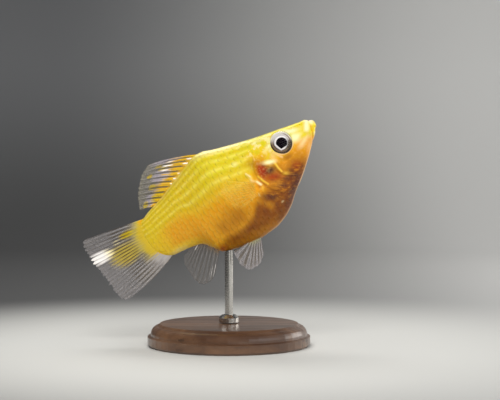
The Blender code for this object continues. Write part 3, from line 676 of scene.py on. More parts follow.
def scale_faces():
    """The faces of one scale's closed plate: top, underside and the rim between them."""
    n = SCALE_GRID
    top = grid_quads(n, n)
    under = top[:, ::-1] + n * n
    rim = ([(0, k) for k in range(n)] + [(k, n - 1) for k in range(1, n)]
           + [(n - 1, k) for k in range(n - 2, -1, -1)] + [(k, 0) for k in range(n - 2, 0, -1)])
    index = [r * n + c for r, c in rim]
    sides = [[a, b, b + n * n, a + n * n] for a, b in zip(index[-1:] + index, index)]
    return np.concatenate([top, under, np.array(sides)])


def scale_places(side):
    """Where each scale's middle lies on one side, its size and the strength of its painted sheen."""
    draw = np.random.default_rng(SEED + (side > 0))
    columns = int((SCALE_END - SCALE_START) / SCALE_STEP)
    for i in range(columns):
        s0 = SCALE_START + i * SCALE_STEP
        for j in range(-1, SCALE_ROWS // 2 + 1):
            turn0 = (2.0 * j + (i % 2)) / SCALE_ROWS
            if turn0 < 0.0 or turn0 > 1.0 or (turn0 in (0.0, 1.0) and side < 0):
                continue
            h = flank(s0, turn0)[1]
            jitter = draw.normal(0.0, 1.0, 3)
            if s0 < gill_edge_at(turn0) + 1.0 and not (turn0 < 0.2 and s0 > 8.0 + 30.0 * turn0):
                continue
            if s0 > flesh_end(h) - 0.2:
                continue
            if turn0 < 0.03 and DORSAL_BASE[0] < s0 < DORSAL_BASE[1]:
                continue
            if turn0 > 0.97 and ANAL_BASE[0] < s0 < ANAL_BASE[1]:
                continue
            yield (s0 + 0.03 * jitter[0], side * (turn0 + 0.0015 * jitter[1]),
                   1.0 + 0.03 * jitter[2], draw.uniform(0.55, 1.0))


def make_scales(side, material):
    """The scales of one side as one piece. Each is a small patch of the UV map, at its place on
    the unrolled skin."""
    shapes, uvs = [], []
    for s0, turn0, size, shine in scale_places(side):
        lift = mix(0.006, 0.018, float(smooth_step(22.0, 34.0, s0)))
        top, under, u, v, turn = one_scale(s0, turn0, girth_at(s0), size, lift)
        edge = smooth_step(0.6, 1.0, np.maximum(np.abs(v), u))
        circle = np.hypot(u - 0.45, 0.6 * v)
        marks = np.stack([edge, circle, turn, shine + 0.0 * u], axis=-1)
        shapes.append(np.stack([np.concatenate([face, marks], axis=-1) for face in (top, under)]))
        root = np.array([0.05 + 0.9 * s0 / 60.0, 0.5 + 0.45 * turn0])
        spread = np.stack([u, (v + 1.0) / 2.0], axis=-1).reshape(-1, 2)
        uvs.append(np.tile(root + (spread - 0.5) * UV_PATCH, (2, 1)))
    table = np.concatenate(shapes).reshape(-1, 7)
    points, (rim, circle, turn, shine) = table[:, :3], table[:, 3:].T
    first = np.arange(len(uvs)) * 2 * SCALE_GRID ** 2
    faces = (scale_faces()[None] + first[:, None, None]).reshape(-1, 4)
    attributes = markings(points) | {"rim": rim, "circle": circle}
    attributes |= row_marks(points[:, 0], points[:, 1], turn, shine)
    make_piece("scales_" + SIDE_WORD[side], points, faces.tolist(), material,
               attributes, uv=np.concatenate(uvs))


# Eyes

PUPIL_RADIUS, PUPIL_BACK, PUPIL_UP = 1.5, 0.0, -0.2
PUPIL_POINT, PUPIL_CORNER = math.radians(-56.0), math.radians(35.0)


def pupil_edge(angle):
    """The pupil's outline: round, with a corner that points down and back in the fish's frame."""
    off = np.abs((angle - PUPIL_POINT + math.pi) % (2.0 * math.pi) - math.pi)
    side = 0.87 / np.maximum(np.cos(off - PUPIL_CORNER), 0.5)
    shift = PUPIL_BACK * np.cos(angle) + PUPIL_UP * np.sin(angle)
    return PUPIL_RADIUS * np.where(off < 2.0 * PUPIL_CORNER, np.minimum(side, 1.06), 1.0) + shift


def eye_disc(side, rings, sides, radius_at, height_at):
    """Points of a dome over the eye, in rings from its middle, and each one's place in its plane."""
    centre, across, up, out = eye_frame(side)
    share = np.linspace(0.0, 1.0, rings)[:, None]
    angle = np.linspace(0.0, 2.0 * math.pi, sides, endpoint=False)[None, :]
    radius = share * radius_at(angle)
    x, y = radius * np.cos(angle), radius * np.sin(angle)
    height = height_at(share) + 0.0 * angle
    points = centre + x[..., None] * across + y[..., None] * up + height[..., None] * out
    return points, x, y, radius, angle + 0.0 * share


def dome(height, sink, power=2.0, root=0.5):
    """The height over the head's surface, from the middle out to the rim."""
    return lambda share: height * np.clip(1.0 - share ** power, 0.0, 1.0) ** root - sink


def closed_dome(points, back):
    """Rings of points closed behind by the same rings pushed back, as one solid."""
    rings, sides = points.shape[:2]
    both = np.concatenate([points, (points + back)[::-1]])
    return both, grid_quads(rings * 2, sides, closed=True).tolist()


# The photo's up and right, by the fish's own s and h
PHOTO_UP, PHOTO_RIGHT = (-0.565, 0.825), (-0.825, -0.565)
IRIS_GREY = (0.52, 0.5, 0.5)
IRIS_RINGS = ((1.7, 2.05, (0.08, 0.05, 0.035)), (2.05, 2.3, (0.27, 0.18, 0.11)),
              (2.4, 2.75, (0.09, 0.055, 0.03)))
IRIS_PALE, IRIS_CREAM, IRIS_ARC = (0.6, 0.57, 0.58), (0.92, 0.87, 0.76), (0.2, 0.15, 0.12)
IRIS_FRONT, IRIS_BRIGHT, IRIS_FLECK = (0.07, 0.045, 0.02), (0.85, 0.81, 0.8), (0.10, 0.08, 0.10)


def iris_material():
    """Dark rings, a pale haze over their upper part, and a bright ring round the pupil."""
    shader = Shader("iris")
    x, y = shader.attribute("eye_x"), shader.attribute("eye_y")
    streaks = shader.noise(60.0, 4.0, shader.attribute("eye_polar", "Vector"), 0.7)
    up, ahead = (shader.scaled(x, s, shader.times(y, h)) for s, h in (PHOTO_UP, PHOTO_RIGHT))
    wobble = shader.scaled(streaks, 0.3, -0.15)
    r = shader.math("ADD", shader.attribute("eye_radius"), wobble)
    colour = IRIS_GREY
    for low, high, tone in IRIS_RINGS:
        colour = shader.mix(shader.step(r, low, high), colour, tone)
    haze = shader.step(shader.scaled(ahead, -0.15, up), -0.6, 1.5)
    pale = shader.mix(shader.step(r, 1.7, 2.9), IRIS_PALE, IRIS_CREAM)
    arc = shader.times(shader.step(r, 2.2, 2.42), shader.step(r, 2.72, 2.55))
    arc = shader.times(arc, shader.step(ahead, -0.2, 1.2, 0.15, 0.9))
    colour = shader.mix(shader.times(haze, 0.9), colour, shader.mix(arc, pale, IRIS_ARC))
    front = shader.times(shader.step(ahead, 1.3, 2.3), shader.step(up, 1.2, 0.2))
    colour = shader.mix(front, colour, IRIS_FRONT)
    bright = shader.step(shader.attribute("pupil_gap"), 0.6, 0.3)
    colour = shader.mix(shader.times(bright, shader.step(ahead, 1.5, 0.9)), colour, IRIS_BRIGHT)
    fleck = shader.times(shader.step(streaks, 0.55, 0.75), 0.45)
    shader.set(Base_Color=shader.mix(fleck, colour, IRIS_FLECK), Metallic=0.2, Roughness=0.35,
               Specular_IOR_Level=0.3)
    shader.bump(streaks, 0.00004, 0.8)
    return shader.material


def pupil_material():
    shader = Shader("pupil")
    depth = shader.noise(900.0, 2.0)
    shader.set(Base_Color=shader.mix(depth, (0.002, 0.001, 0.002), (0.005, 0.003, 0.006)),
               Roughness=0.5, Specular_IOR_Level=0.05)
    return shader.material


def cornea_material():
    """A clear, wet layer: see-through, with a gloss that grows towards its rim."""
    shader = Shader("cornea")
    clear = shader.nodes.new("ShaderNodeBsdfTransparent")
    shine = shader.nodes.new("ShaderNodeBsdfGlossy")
    shine.inputs["Roughness"].default_value = 0.12
    share = shader.nodes.new("ShaderNodeFresnel")
    share.inputs["IOR"].default_value = 1.2
    both = shader.nodes.new("ShaderNodeMixShader")
    shader.links.new(share.outputs[0], both.inputs[0])
    shader.links.new(clear.outputs[0], both.inputs[1])
    shader.links.new(shine.outputs[0], both.inputs[2])
    shader.links.new(both.outputs[0], shader.output.inputs["Surface"])
    shader.nodes.remove(shader.surface)
    return shader.material


def make_eye(side, iris, pupil, cornea, skin):
    """One eye: its iris, its pupil, the cornea over both and the rim of skin round them."""
    word, out = SIDE_WORD[side], eye_frame(side)[3]
    points, x, y, radius, angle = eye_disc(side, 34, 96, lambda a: EYE_RADIUS + 0.0 * a,
                                           dome(0.78, 0.42))
    both, faces = closed_dome(points, out * -0.9)
    gap = radius - pupil_edge(angle)
    polar = np.stack([np.cos(angle), np.sin(angle), 0.15 * radius], axis=-1)

    def doubled(values):
        return np.concatenate([values, values[::-1]]).reshape((-1,) + values.shape[2:])

    attributes = {"eye_x": doubled(x), "eye_y": doubled(y), "eye_radius": doubled(radius),
                  "pupil_gap": doubled(gap), "eye_polar": doubled(polar)}
    make_piece("eye_" + word + "_iris", both, faces, iris, attributes,
               replaces=("eye_" + word,))
    points = eye_disc(side, 14, 64, pupil_edge, dome(0.2, 0.0, 2.4))[0]
    points = points + out * 0.3
    both, faces = closed_dome(points, out * -0.45)
    make_piece("eye_" + word + "_pupil", both, faces, pupil)
    points = eye_disc(side, 24, 72, lambda a: EYE_RADIUS + 0.02 + 0.0 * a, dome(1.05, 0.25, 2.4, 0.9))[0]
    both, faces = closed_dome(points, out * -0.05)
    make_piece("eye_" + word + "_cornea", both, faces, cornea)
    make_orbit(side, word, skin)


def make_orbit(side, word, material):
    """The soft rim of skin round the eye."""
    turns, sides = 120, 14
    angle = np.linspace(0.0, 2.0 * math.pi, turns, endpoint=False)
    reach = EYE_RADIUS + 0.09
    s, h = EYE_S + reach * np.cos(angle), EYE_H + reach * np.sin(angle)
    turn = side * share_at_height(s, h)
    path = flank(s, turn)
    out = flank_normal(s, turn)
    spoke = point_of(np.cos(angle), np.sin(angle), 0.0)
    away = unit(spoke - out * (out * spoke).sum(axis=-1, keepdims=True))
    around = np.linspace(0.0, 2.0 * math.pi, sides, endpoint=False)[None, :, None]
    wide, tall = 0.26, 0.2
    points = (path - out * 0.06)[:, None] + away[:, None] * np.cos(around) * wide \
        + out[:, None] * np.sin(around) * tall
    faces = grid_quads(turns + 1, sides, closed=True) % (turns * sides)
    tone = markings(points.reshape(-1, 3))
    low = np.repeat(smooth_step(0.1, -0.8, np.sin(angle)), sides)
    tone["blush_and_rim_light"] = np.maximum(tone["blush_and_rim_light"], 0.8 * low)
    make_piece("orbit_" + word, points, faces.tolist(), material, tone)


# Fins

RAY_JOINTS = 24


def fan(points):
    """A function of the share across a fin, through (share, s, h) points of its free edge."""
    s_at = profile([(a, s) for a, s, h in points])
    h_at = profile([(a, h) for a, s, h in points])
    return lambda a: point_of(s_at(a), h_at(a), 0.0)


def off_line(line_at, s, away):
    """A point of the side outline moved off the body by away, square to the outline."""
    slope = (line_at(s + 0.05) - line_at(s - 0.05)) / 0.1
    length = np.sqrt(1.0 + slope ** 2)
    return point_of(s - slope / length * away, line_at(s) + away / length, 0.0)


def wave(b, width, across=(0.0, 0.0, 0.0)):
    """A bend to the side that grows towards the tips, with a bow across that is 0 at both ends."""
    return point_of(0.0, 0.0, width * b * b) + np.array(across) * (4.0 * b * (1.0 - b))[..., None]


class Fin:
    """A fin's shape: where each ray starts and ends, how it bends and which way it is thick."""

    def __init__(self, name, rays, root, tip, bend, side=None, forks=2, seed=0):
        self.name, self.rays, self.forks = name, rays, forks
        self.root, self.tip, self.bend = root, tip, bend
        self.side = side or (lambda a, b: point_of(0.0 * a * b, 0.0, 1.0))
        self.draw = np.random.default_rng(SEED + 10 + seed)

    def surface(self, a, b):
        a, b = np.broadcast_arrays(np.asarray(a, float), np.asarray(b, float))
        root, tip = self.root(a), self.tip(a)
        return root + (tip - root) * b[..., None] + self.bend(a, b)


def membrane(fin, material, replaces, rows=40, per_ray=8, thick=0.07, furl=0.07, flare=0.0):
    """The fin's thin skin: a closed sheet, furled between its rays and notched at its edge.

    flare is how far it thickens towards its root, to flow out of the flesh.
    """
    a = np.linspace(0.0, 1.0, fin.rays * per_ray + 1)[None, :]
    b = np.linspace(0.0, 1.0, rows)[:, None]
    ripple = np.cos(2.0 * math.pi * fin.rays * a - math.pi)
    ragged = profile([(k / 40.0, v) for k, v in enumerate(fin.draw.normal(0.0, 1.0, 41))])(a)
    reach = 1.01 + 0.012 * (ripple - 1.0) + 0.008 * ragged
    centre = fin.surface(a, b * mix(1.0, reach, b ** 3))
    side = fin.side(a, b)
    centre = centre + side * (furl * ripple * np.sin(math.pi * np.clip(b * 0.9, 0.0, 1.0)))[..., None]
    swell = flare * smooth_step(0.4, 0.04, b) * np.sqrt(np.clip(a * (1.0 - a) * 4.0, 0.0, 1.0))
    half = (mix(thick, 0.3 * thick, smooth_step(0.2, 1.0, b)) + swell)[..., None]
    left, right = centre + side * half, centre - side * half
    rings = np.concatenate([left, right[:, ::-1]], axis=1)
    count = rings.shape[1]
    faces = grid_quads(rows, count, closed=True).tolist()
    for row in (0, (rows - 1) * count):
        faces += [[row + k, row + k + 1, row + count - 2 - k, row + count - 1 - k]
                  for k in range(count // 2 - 1)]
    across = np.concatenate([a + 0.0 * b, (a + 0.0 * b)[:, ::-1]], axis=1)
    out = np.concatenate([b + 0.0 * a] * 2, axis=1)
    make_piece(fin.name, rings, faces, material,
               {"across": across.ravel(), "out": out.ravel()}, replaces=replaces)


def ray_tubes(fin, material, thick=0.15, thin=0.018, first_fork=0.32, second_fork=0.66, sides=6,
              rows=30):
    """The fin's rays: tapered rods, thickest at the root, that fork on their way to the edge."""
    points, faces, across, out = [], [], [], []

    def tube(a_at, low, high, radius_low, radius_high):
        """One rod, along the line a_at across the fin, from low to high out of its root."""
        start = sum(len(rings) for rings in points)
        count = max(int(rows * (high - low)), 5)
        b = np.linspace(low, high, count)
        a = a_at(b)
        path = fin.surface(a, b)
        ahead = unit(np.gradient(path, axis=0))
        over = unit(np.cross(ahead, fin.side(a, b)))
        side = unit(np.cross(over, ahead))
        share = (b - low) / (high - low)
        joint = 1.0 + 0.06 * np.cos(b * 2.0 * math.pi * RAY_JOINTS) * smooth_step(0.25, 0.4, b)
        radius = (mix(radius_low, radius_high, share) * joint)[:, None, None]
        turn = np.linspace(0.0, 2.0 * math.pi, sides, endpoint=False)[None, :, None]
        ring = path[:, None] + radius * (side[:, None] * np.cos(turn) + over[:, None] * np.sin(turn))
        points.append(ring.reshape(-1, 3))
        faces.extend((grid_quads(count, sides, closed=True) + start).tolist())
        faces.append([start + k for k in range(sides)])
        faces.append([start + (count - 1) * sides + k for k in range(sides)])
        across.append(np.repeat(a, sides))
        out.append(np.repeat(b, sides))

    def branch(a_at, way, reach, fork):
        """The line of a branch that leaves a_at at the fork, to one side."""
        return lambda b: a_at(b) + way * reach * smooth_step(fork - 0.02, 1.0, b) ** 0.65

    spread = 0.5 / fin.rays
    for i in range(fin.rays):
        centre = (i + 0.5) / fin.rays
        wobble = fin.draw.normal(0.0, 0.015, 2)
        fork, refork = first_fork + wobble[0], second_fork + wobble[1]
        end = 1.0 + 0.008 * fin.draw.normal()

        def stem(b, centre=centre):
            return centre + 0.0 * b

        if i in (0, fin.rays - 1):
            tube(stem, 0.0, end, thick, thin * 1.5)
            continue
        tube(stem, 0.0, fork + 0.01, thick, 0.6 * thick)
        for way in (-1, 1):
            half = branch(stem, way, 0.5 * spread, fork)
            if fin.forks == 1:
                tube(half, fork - 0.01, end, 0.45 * thick, thin)
                continue
            tube(half, fork - 0.01, refork + 0.01, 0.45 * thick, 0.26 * thick)
            for turn in (-1, 1):
                tube(branch(half, turn, 0.22 * spread, refork), refork - 0.01, end, 0.2 * thick, thin)
    make_piece(fin.name + "_rays", np.concatenate(points), faces, material,
               {"across": np.concatenate(across), "out": np.concatenate(out)})


CLEAR = (0.30, 0.28, 0.285)
BRIGHT = (0.78, 0.76, 0.76)
GLINT_WHITE = (1.0, 0.96, 0.93)
LILAC = (0.52, 0.47, 0.52)
ASH = (0.42, 0.39, 0.38)
STAIN = (0.56, 0.41, 0.015)
OLIVE = (0.52, 0.40, 0.075)
CREAM = (0.98, 0.84, 0.42)
MIST = (0.6, 0.57, 0.57)
SHADOW = (0.10, 0.06, 0.012)
JOINT = (0.3, 0.22, 0.1)
MUSTARD = (0.60, 0.42, 0.025)
ORANGE = (0.7, 0.36, 0.01)

# Spots on the fins: middle across and out, reach each way, and how ragged and soft they are.
# A stain has its tone and the cover that it adds before these
DORSAL_STAINS = ((LILAC, 0.2, 0.05, 0.6, 0.1, 0.3), (LILAC, 0.2, 0.42, 0.5, 0.14, 0.2),
                 (LILAC, 0.1, 0.85, 0.5, 0.12, 0.2), (STAIN, 0.35, 0.62, 0.6, 0.05, 0.1),
                 (STAIN, 0.35, 0.93, 0.68, 0.06, 0.12), (STAIN, 0.35, 0.2, 0.68, 0.04, 0.08),
                 (STAIN, 0.35, 0.4, 0.78, 0.05, 0.06), (STAIN, 0.35, 0.28, 0.56, 0.04, 0.08),
                 (STAIN, 0.35, 0.8, 0.3, 0.1, 0.2))
# Glints are painted highlights
DORSAL_GLINTS = ((0.24, 0.48, 0.1, 0.1), (0.2, 0.08, 0.08, 0.07), (0.5, 0.07, 0.1, 0.05))
CAUDAL_STAINS = ((MUSTARD, 0.2, 0.45, 0.0, 0.6, 0.14), (OLIVE, 0.45, 0.44, 0.42, 0.17, 0.3),
                 (STAIN, 0.3, 0.15, 0.3, 0.06, 0.12), (ORANGE, 0.2, 0.03, 0.02, 0.05, 0.08),
                 (ASH, 0.06, 0.93, 0.2, 0.16, 0.35))
CAUDAL_GLINTS = ((0.3, 0.84, 0.085, 0.24, 0.8, 1.2),)
CAUDAL_RAY_GLINTS = CAUDAL_GLINTS + ((0.2, 0.5, 0.03, 0.08, 1.6, 1.0),)
ANAL_GLINTS = ((0.08, 0.75, 0.08, 0.2, 0.8), (0.3, 0.4, 0.03, 0.2, 0.8), (0.75, 0.2, 0.06, 0.1))
# Each fin's membrane and its rays
FIN_LOOKS = {
    "dorsal": (dict(near=(0.8, 0.48, 0.015), far=(0.28, 0.26, 0.2), tinted=(0.32, 0.62),
                    root_cover=0.85, cover=0.3, edge_cover=0.5, gap_cover=0.3, gap_end=0.75,
                    stains=DORSAL_STAINS),
               dict(near=(0.86, 0.56, 0.02), middle=(0.8, 0.46, 0.015), far=LILAC, cover=0.9,
                    far_cover=0.32, tinted=(0.32, 0.62), glints=DORSAL_GLINTS)),
    "caudal": (dict(near=(0.54, 0.42, 0.05), far=CLEAR, tinted=(0.08, 0.34), root_cover=1.0,
                    cover=0.3, edge_cover=0.36, gap_cover=0.85, gap_start=(0.1, 0.42), gap_end=0.7,
                    gap_tone=0.85, stains=CAUDAL_STAINS, glints=CAUDAL_GLINTS, glint_near=CREAM),
               dict(near=(0.7, 0.54, 0.1), middle=(0.6, 0.54, 0.4), far=(0.54, 0.52, 0.52),
                    cover=0.7, far_cover=0.32, tinted=(0.12, 0.3), stains=CAUDAL_STAINS,
                    glints=CAUDAL_RAY_GLINTS, glint_near=CREAM)),
    "anal": (dict(near=(0.6, 0.36, 0.12), far=(0.15, 0.14, 0.135), tinted=(0.0, 0.2),
                  root_cover=0.5, cover=0.2, edge_cover=0.42),
             dict(near=(0.5, 0.36, 0.2), middle=(0.32, 0.3, 0.3), far=(0.35, 0.34, 0.34),
                  cover=0.4, far_cover=0.24, glints=ANAL_GLINTS)),
    "pelvic": (dict(near=(0.45, 0.44, 0.2), far=CLEAR, tinted=(0.0, 0.3), root_cover=0.5,
                    cover=0.36, edge_cover=0.6),
               dict(near=(0.6, 0.58, 0.4), middle=(0.62, 0.6, 0.58), far=BRIGHT, cover=0.5,
                    far_cover=0.5)),
    "pectoral": (dict(near=(0.9, 0.58, 0.04), far=(0.95, 0.68, 0.1), tinted=(0.0, 0.3),
                      root_cover=0.12, cover=0.07, edge_cover=0.03, gap_cover=0.95),
                 dict(near=(0.95, 0.68, 0.1), middle=(0.95, 0.7, 0.14), far=(0.95, 0.75, 0.2),
                      cover=0.12, far_cover=0.08)),
}


class FinShader(Shader):
    """A shader that knows where it is on a fin: across from its first ray, out from its root."""

    def __init__(self, name):
        super().__init__(name)
        self.across, self.out = self.attribute("across"), self.attribute("out")

    def streaks(self, across=70.0, out=5.0):
        """Noise drawn out along the rays."""
        place_node = self.nodes.new("ShaderNodeCombineXYZ")
        self.link(self.times(self.across, across), place_node.inputs[0])
        self.link(self.times(self.out, out), place_node.inputs[1])
        return self.noise(1.0, 3.0, place_node.outputs[0], 0.6)

    def between(self, rays):
        """1 halfway between two rays and 0 on them."""
        wave = self.math("COSINE", self.times(self.across, 2.0 * math.pi * rays))
        return self.step(wave, -0.1, 0.9)

    def spot(self, rays, across, out, wide, long, ragged=1.6, soft=1.6):
        """A soft oval feathered along the rays: its middle across and out, its reach each way."""
        da = self.math("DIVIDE", self.math("SUBTRACT", self.across, across), wide)
        db = self.math("DIVIDE", self.math("SUBTRACT", self.out, out), long)
        reach = self.math("ADD", self.times(da, da), self.times(db, db))
        cloud = self.scaled(self.streaks(), ragged, -0.5 * ragged)
        feather = self.scaled(self.between(rays), 0.5, cloud)
        return self.step(self.math("ADD", reach, feather), 0.4 + soft, 0.4)

    def glint(self, rays, *at):
        """A spot of painted highlight, brightest on the rays."""
        on_ray = self.scaled(self.between(rays), -0.2, 1.0)
        return self.times(self.spot(rays, *at), on_ray)

    def glint_colour(self, near):
        """The painted highlight's colour: white, tinted near towards the root."""
        return self.mix(self.step(self.out, 0.6, 0.82), near, GLINT_WHITE)


def fin_material(name, rays, near, far, tinted, root_cover, cover, edge_cover, gap_cover=0.75,
                 gap_start=(0.03, 0.2), gap_end=1.0, gap_tone=0.65, stains=(), glints=(),
                 glint_near=GLINT_WHITE):
    """A clear membrane, stained near its root and in spots, clearer between rays, with painted glints.
    """
    shader = FinShader(name)
    drift = shader.scaled(shader.noise(350.0, 4.0), 0.24, -0.12)
    way = shader.math("ADD", shader.out, drift)
    colour = shader.mix(shader.step(way, *tinted), near, far)
    veil = shader.step(way, *tinted, root_cover, cover)
    veil = shader.math("ADD", veil, shader.step(shader.out, 0.85, 1.0, 0.0, edge_cover - cover))
    streaks = shader.streaks()
    colour = shader.mix(shader.step(streaks, 0.5, 0.75, 0.0, 0.4), colour, MIST)
    veil = shader.times(veil, shader.step(streaks, 0.3, 0.7, 0.6, 1.45))
    for tone, cover_more, *spot in stains:
        share = shader.spot(rays, *spot)
        colour = shader.mix(share, colour, tone)
        veil = shader.scaled(share, cover_more, veil)
    gap = shader.times(shader.between(rays), shader.step(way, gap_end, gap_end - 0.2, 0.3, 1.0))
    gap = shader.times(gap, shader.step(shader.out, *gap_start))
    colour = shader.mix(shader.times(gap, gap_tone), colour, SHADOW)
    veil = shader.times(veil, shader.scaled(gap, gap_cover - 1.0, 1.0))
    for spot in glints:
        share = shader.glint(rays, *spot)
        colour = shader.mix(share, colour, shader.glint_colour(glint_near))
        veil = shader.scaled(share, 0.75, veil)
    speck = shader.step(shader.noise(1200.0, 3.0), 0.5, 0.75, 0.0, 0.04)
    shader.set(Base_Color=colour, Alpha=shader.math("ADD", veil, speck, clamp=True),
               Roughness=0.35, Specular_IOR_Level=0.3)
    shader.bump(shader.noise(1800.0, 3.0), 0.00003, 0.7)
    return shader.material


def ray_material(name, rays, near, middle, far, cover, far_cover, tinted=(0.3, 0.6), stains=(),
                 glints=(), glint_near=GLINT_WHITE):
    """Jointed bony rays, coloured near the root and clear towards the edge, with painted glints."""
    shader = FinShader(name)
    drift = shader.scaled(shader.noise(400.0, 3.0), 0.5, -0.25)
    way = shader.math("ADD", shader.out, drift)
    colour = shader.mix(shader.step(way, 0.0, tinted[0]), near, middle)
    colour = shader.mix(shader.step(way, *tinted), colour, far)
    veil = shader.step(way, *tinted, cover, far_cover)
    for tone, cover_more, *spot in stains:
        share = shader.spot(rays, *spot)
        colour = shader.mix(share, colour, tuple(min(1.3 * part, 1.0) for part in tone))
        veil = shader.scaled(share, 0.5 * cover_more, veil)
    band = shader.math("SINE", shader.times(shader.out, 150.0))
    colour = shader.mix(shader.step(band, 0.3, 1.0, 0.0, 0.1), colour, JOINT)
    for spot in glints:
        share = shader.glint(rays, *spot)
        colour = shader.mix(share, colour, shader.glint_colour(glint_near))
        veil = shader.math("MULTIPLY_ADD", share, 0.5, veil, clamp=True)
    shader.set(Base_Color=colour, Alpha=veil, Roughness=0.3, Specular_IOR_Level=0.4)
    return shader.material


def fin_materials(name, rays):
    """The materials of a fin's membrane and of its rays."""
    skin, bones = FIN_LOOKS[name]
    return (fin_material(name + "_membrane", rays, **skin),
            ray_material(name + "_rays", rays, **bones))


PELVIC_RAYS, PECTORAL_RAYS = 7, 9
# The share of the way down the side where the pelvic fins grow
PELVIC_TURN = 0.92


def make_dorsal_fin():
    edge = fan(((0.0, 43.4, 16.5), (0.25, 46.0, 15.6), (0.5, 48.4, 13.7), (0.75, 50.8, 10.9),
                (1.0, 52.4, 7.7)))
    bow = np.array([-0.25, 0.5, 0.0])
    fin = Fin("dorsal_fin_skin", 11, lambda a: off_line(back_at, mix(30.0, 48.4, a), -0.5), edge,
              lambda a, b: wave(b, 0.5 * np.sin(3.0 * a + 0.6), bow * (1.0 - a)[..., None]), seed=1)
    skin, rays = fin_materials("dorsal", fin.rays)
    membrane(fin, skin, ("dorsal_fin",))
    ray_tubes(fin, rays, thick=0.25)


def make_caudal_fin():
    edge = fan(((0.0, 69.8, 9.6), (0.08, 71.1, 8.0), (0.3, 71.2, 3.3), (0.5, 70.8, -0.8),
                (0.92, 70.4, -9.0), (1.0, 69.0, -10.5)))

    def root(a):
        h = mix(back_at(54.0) - 0.3, belly_at(54.0) - 0.15, a)
        return point_of(flesh_end(h) - 1.2, h, 0.0)

    def bend(a, b):
        bow = smooth_step(0.75, 1.0, a)[..., None] * np.array([0.0, -0.8, 0.0])
        return wave(b, 0.8 * np.sin(5.0 * a + 0.4), bow)

    fin = Fin("caudal_fin_skin", 20, root, edge, bend, seed=2)
    skin, rays = fin_materials("caudal", fin.rays)
    membrane(fin, skin, ("caudal_fin",), rows=56, flare=1.2)
    ray_tubes(fin, rays, thick=0.17, rows=40, first_fork=0.28, second_fork=0.58)


def make_anal_fin():
    edge = fan(((0.0, 45.6, -18.3), (0.12, 47.6, -19.0), (0.28, 49.8, -18.4), (0.5, 50.9, -15.3),
                (0.8, 50.7, -11.4), (1.0, 49.3, -9.0)))
    fin = Fin("anal_fin_skin", 10, lambda a: off_line(belly_at, mix(40.8, 45.6, a), 0.5), edge,
              lambda a, b: wave(b, 0.4 * np.cos(3.0 * a)), seed=3)
    skin, rays = fin_materials("anal", fin.rays)
    membrane(fin, skin, ("anal_fin",))
    ray_tubes(fin, rays, thick=0.14)


def make_pelvic_fin(side, skin, rays):
    word, turn = SIDE_WORD[side], side * PELVIC_TURN
    edge = fan(((0.0, 31.4, -20.9), (0.3, 34.2, -22.5), (0.55, 36.5, -22.4), (0.8, 38.1, -19.4),
                (1.0, 37.8, -15.8)))

    def root(a):
        s = mix(29.2, 32.6, a)
        return flank(s, turn) - flank_normal(s, turn) * 0.4

    def tip(a):
        point = edge(a)
        point[..., 2] = side * (np.abs(root(a)[..., 2]) + 1.1 + 0.6 * a)
        return point

    along = unit(np.array([0.0, 0.15, side]))
    fin = Fin("pelvic_fin_skin_" + word, PELVIC_RAYS, root, tip,
              lambda a, b: wave(b, side * 0.25 * np.sin(4.0 * a)),
              lambda a, b: np.broadcast_to(along, np.broadcast(a, b).shape + (3,)), forks=1, seed=4)
    membrane(fin, skin, ("pelvic_fin_" + word,), rows=30, per_ray=10)
    ray_tubes(fin, rays, thick=0.13, rows=24)


def make_pectoral_fin(side, skin, rays):
    word = SIDE_WORD[side]
    edge = fan(((0.0, 28.4, 1.4), (0.3, 30.9, -0.2), (0.6, 31.6, -2.8), (0.85, 30.8, -5.6),
                (1.0, 28.8, -7.6)))

    def surface(a, shift=0.0, off=-0.25):
        s = mix(22.1, 23.5, a) + shift
        turn = side * share_at_height(s, mix(-3.9, -7.0, a))
        return flank(s, turn) + flank_normal(s, turn) * off

    def tip(a):
        point = edge(a)
        point[..., 2] = side * (np.abs(surface(a, off=0.4)[..., 2]) + 4.0)
        return point

    def thickness(a, b):
        """Along the skin at the fin's root, and square to the fin itself further out."""
        a, b = np.broadcast_arrays(np.asarray(a, float), np.asarray(b, float))
        flat = unit(surface(a, 0.2) - surface(a, -0.2))
        free = unit(np.cross(unit(tip(a) - surface(a)), unit(tip(0.9) - tip(0.1))))
        free = np.where(free[..., 2:] * side > 0.0, -free, free)
        return unit(flat * (1.0 - smooth_step(0.0, 0.15, b))[..., None] + free * (b > 0.0)[..., None])

    fin = Fin("pectoral_fin_skin_" + word, PECTORAL_RAYS, surface, tip,
              lambda a, b: wave(b, side * 0.3 * np.sin(4.0 * a)), thickness, forks=1, seed=6)
    membrane(fin, skin, ("pectoral_fin_" + word,), rows=30, per_ray=8, thick=0.05)
    ray_tubes(fin, rays, thick=0.11, rows=24, first_fork=0.4)


# The stand keeps its modelled nodes and gets finished surfaces

WALNUT_PALE, WALNUT_DARK, PORE = (0.17, 0.085, 0.042), (0.065, 0.03, 0.016), (0.02, 0.01, 0.006)
STEEL_PALE, STEEL_DARK = (0.66, 0.64, 0.6), (0.52, 0.5, 0.47)


def wood_material():
    shader = Shader("walnut")
    where = shader.where()
    bands = shader.noise(26.0, 5.0, shader.stretch(where, (1.0, 7.0, 7.0)), 0.55, 0.6)
    pores = shader.noise(240.0, 3.0, shader.stretch(where, (0.12, 1.6, 1.6)), 0.7)
    colour = shader.mix(shader.step(bands, 0.3, 0.72), WALNUT_PALE, WALNUT_DARK)
    colour = shader.mix(shader.step(pores, 0.58, 0.72, 0.0, 0.7), colour, PORE)
    shader.set(Base_Color=colour, Roughness=shader.step(pores, 0.4, 0.75, 0.3, 0.5), Coat_Weight=0.35,
               Coat_Roughness=0.15)
    shader.bump(pores, 0.00006, 0.5)
    return shader.material


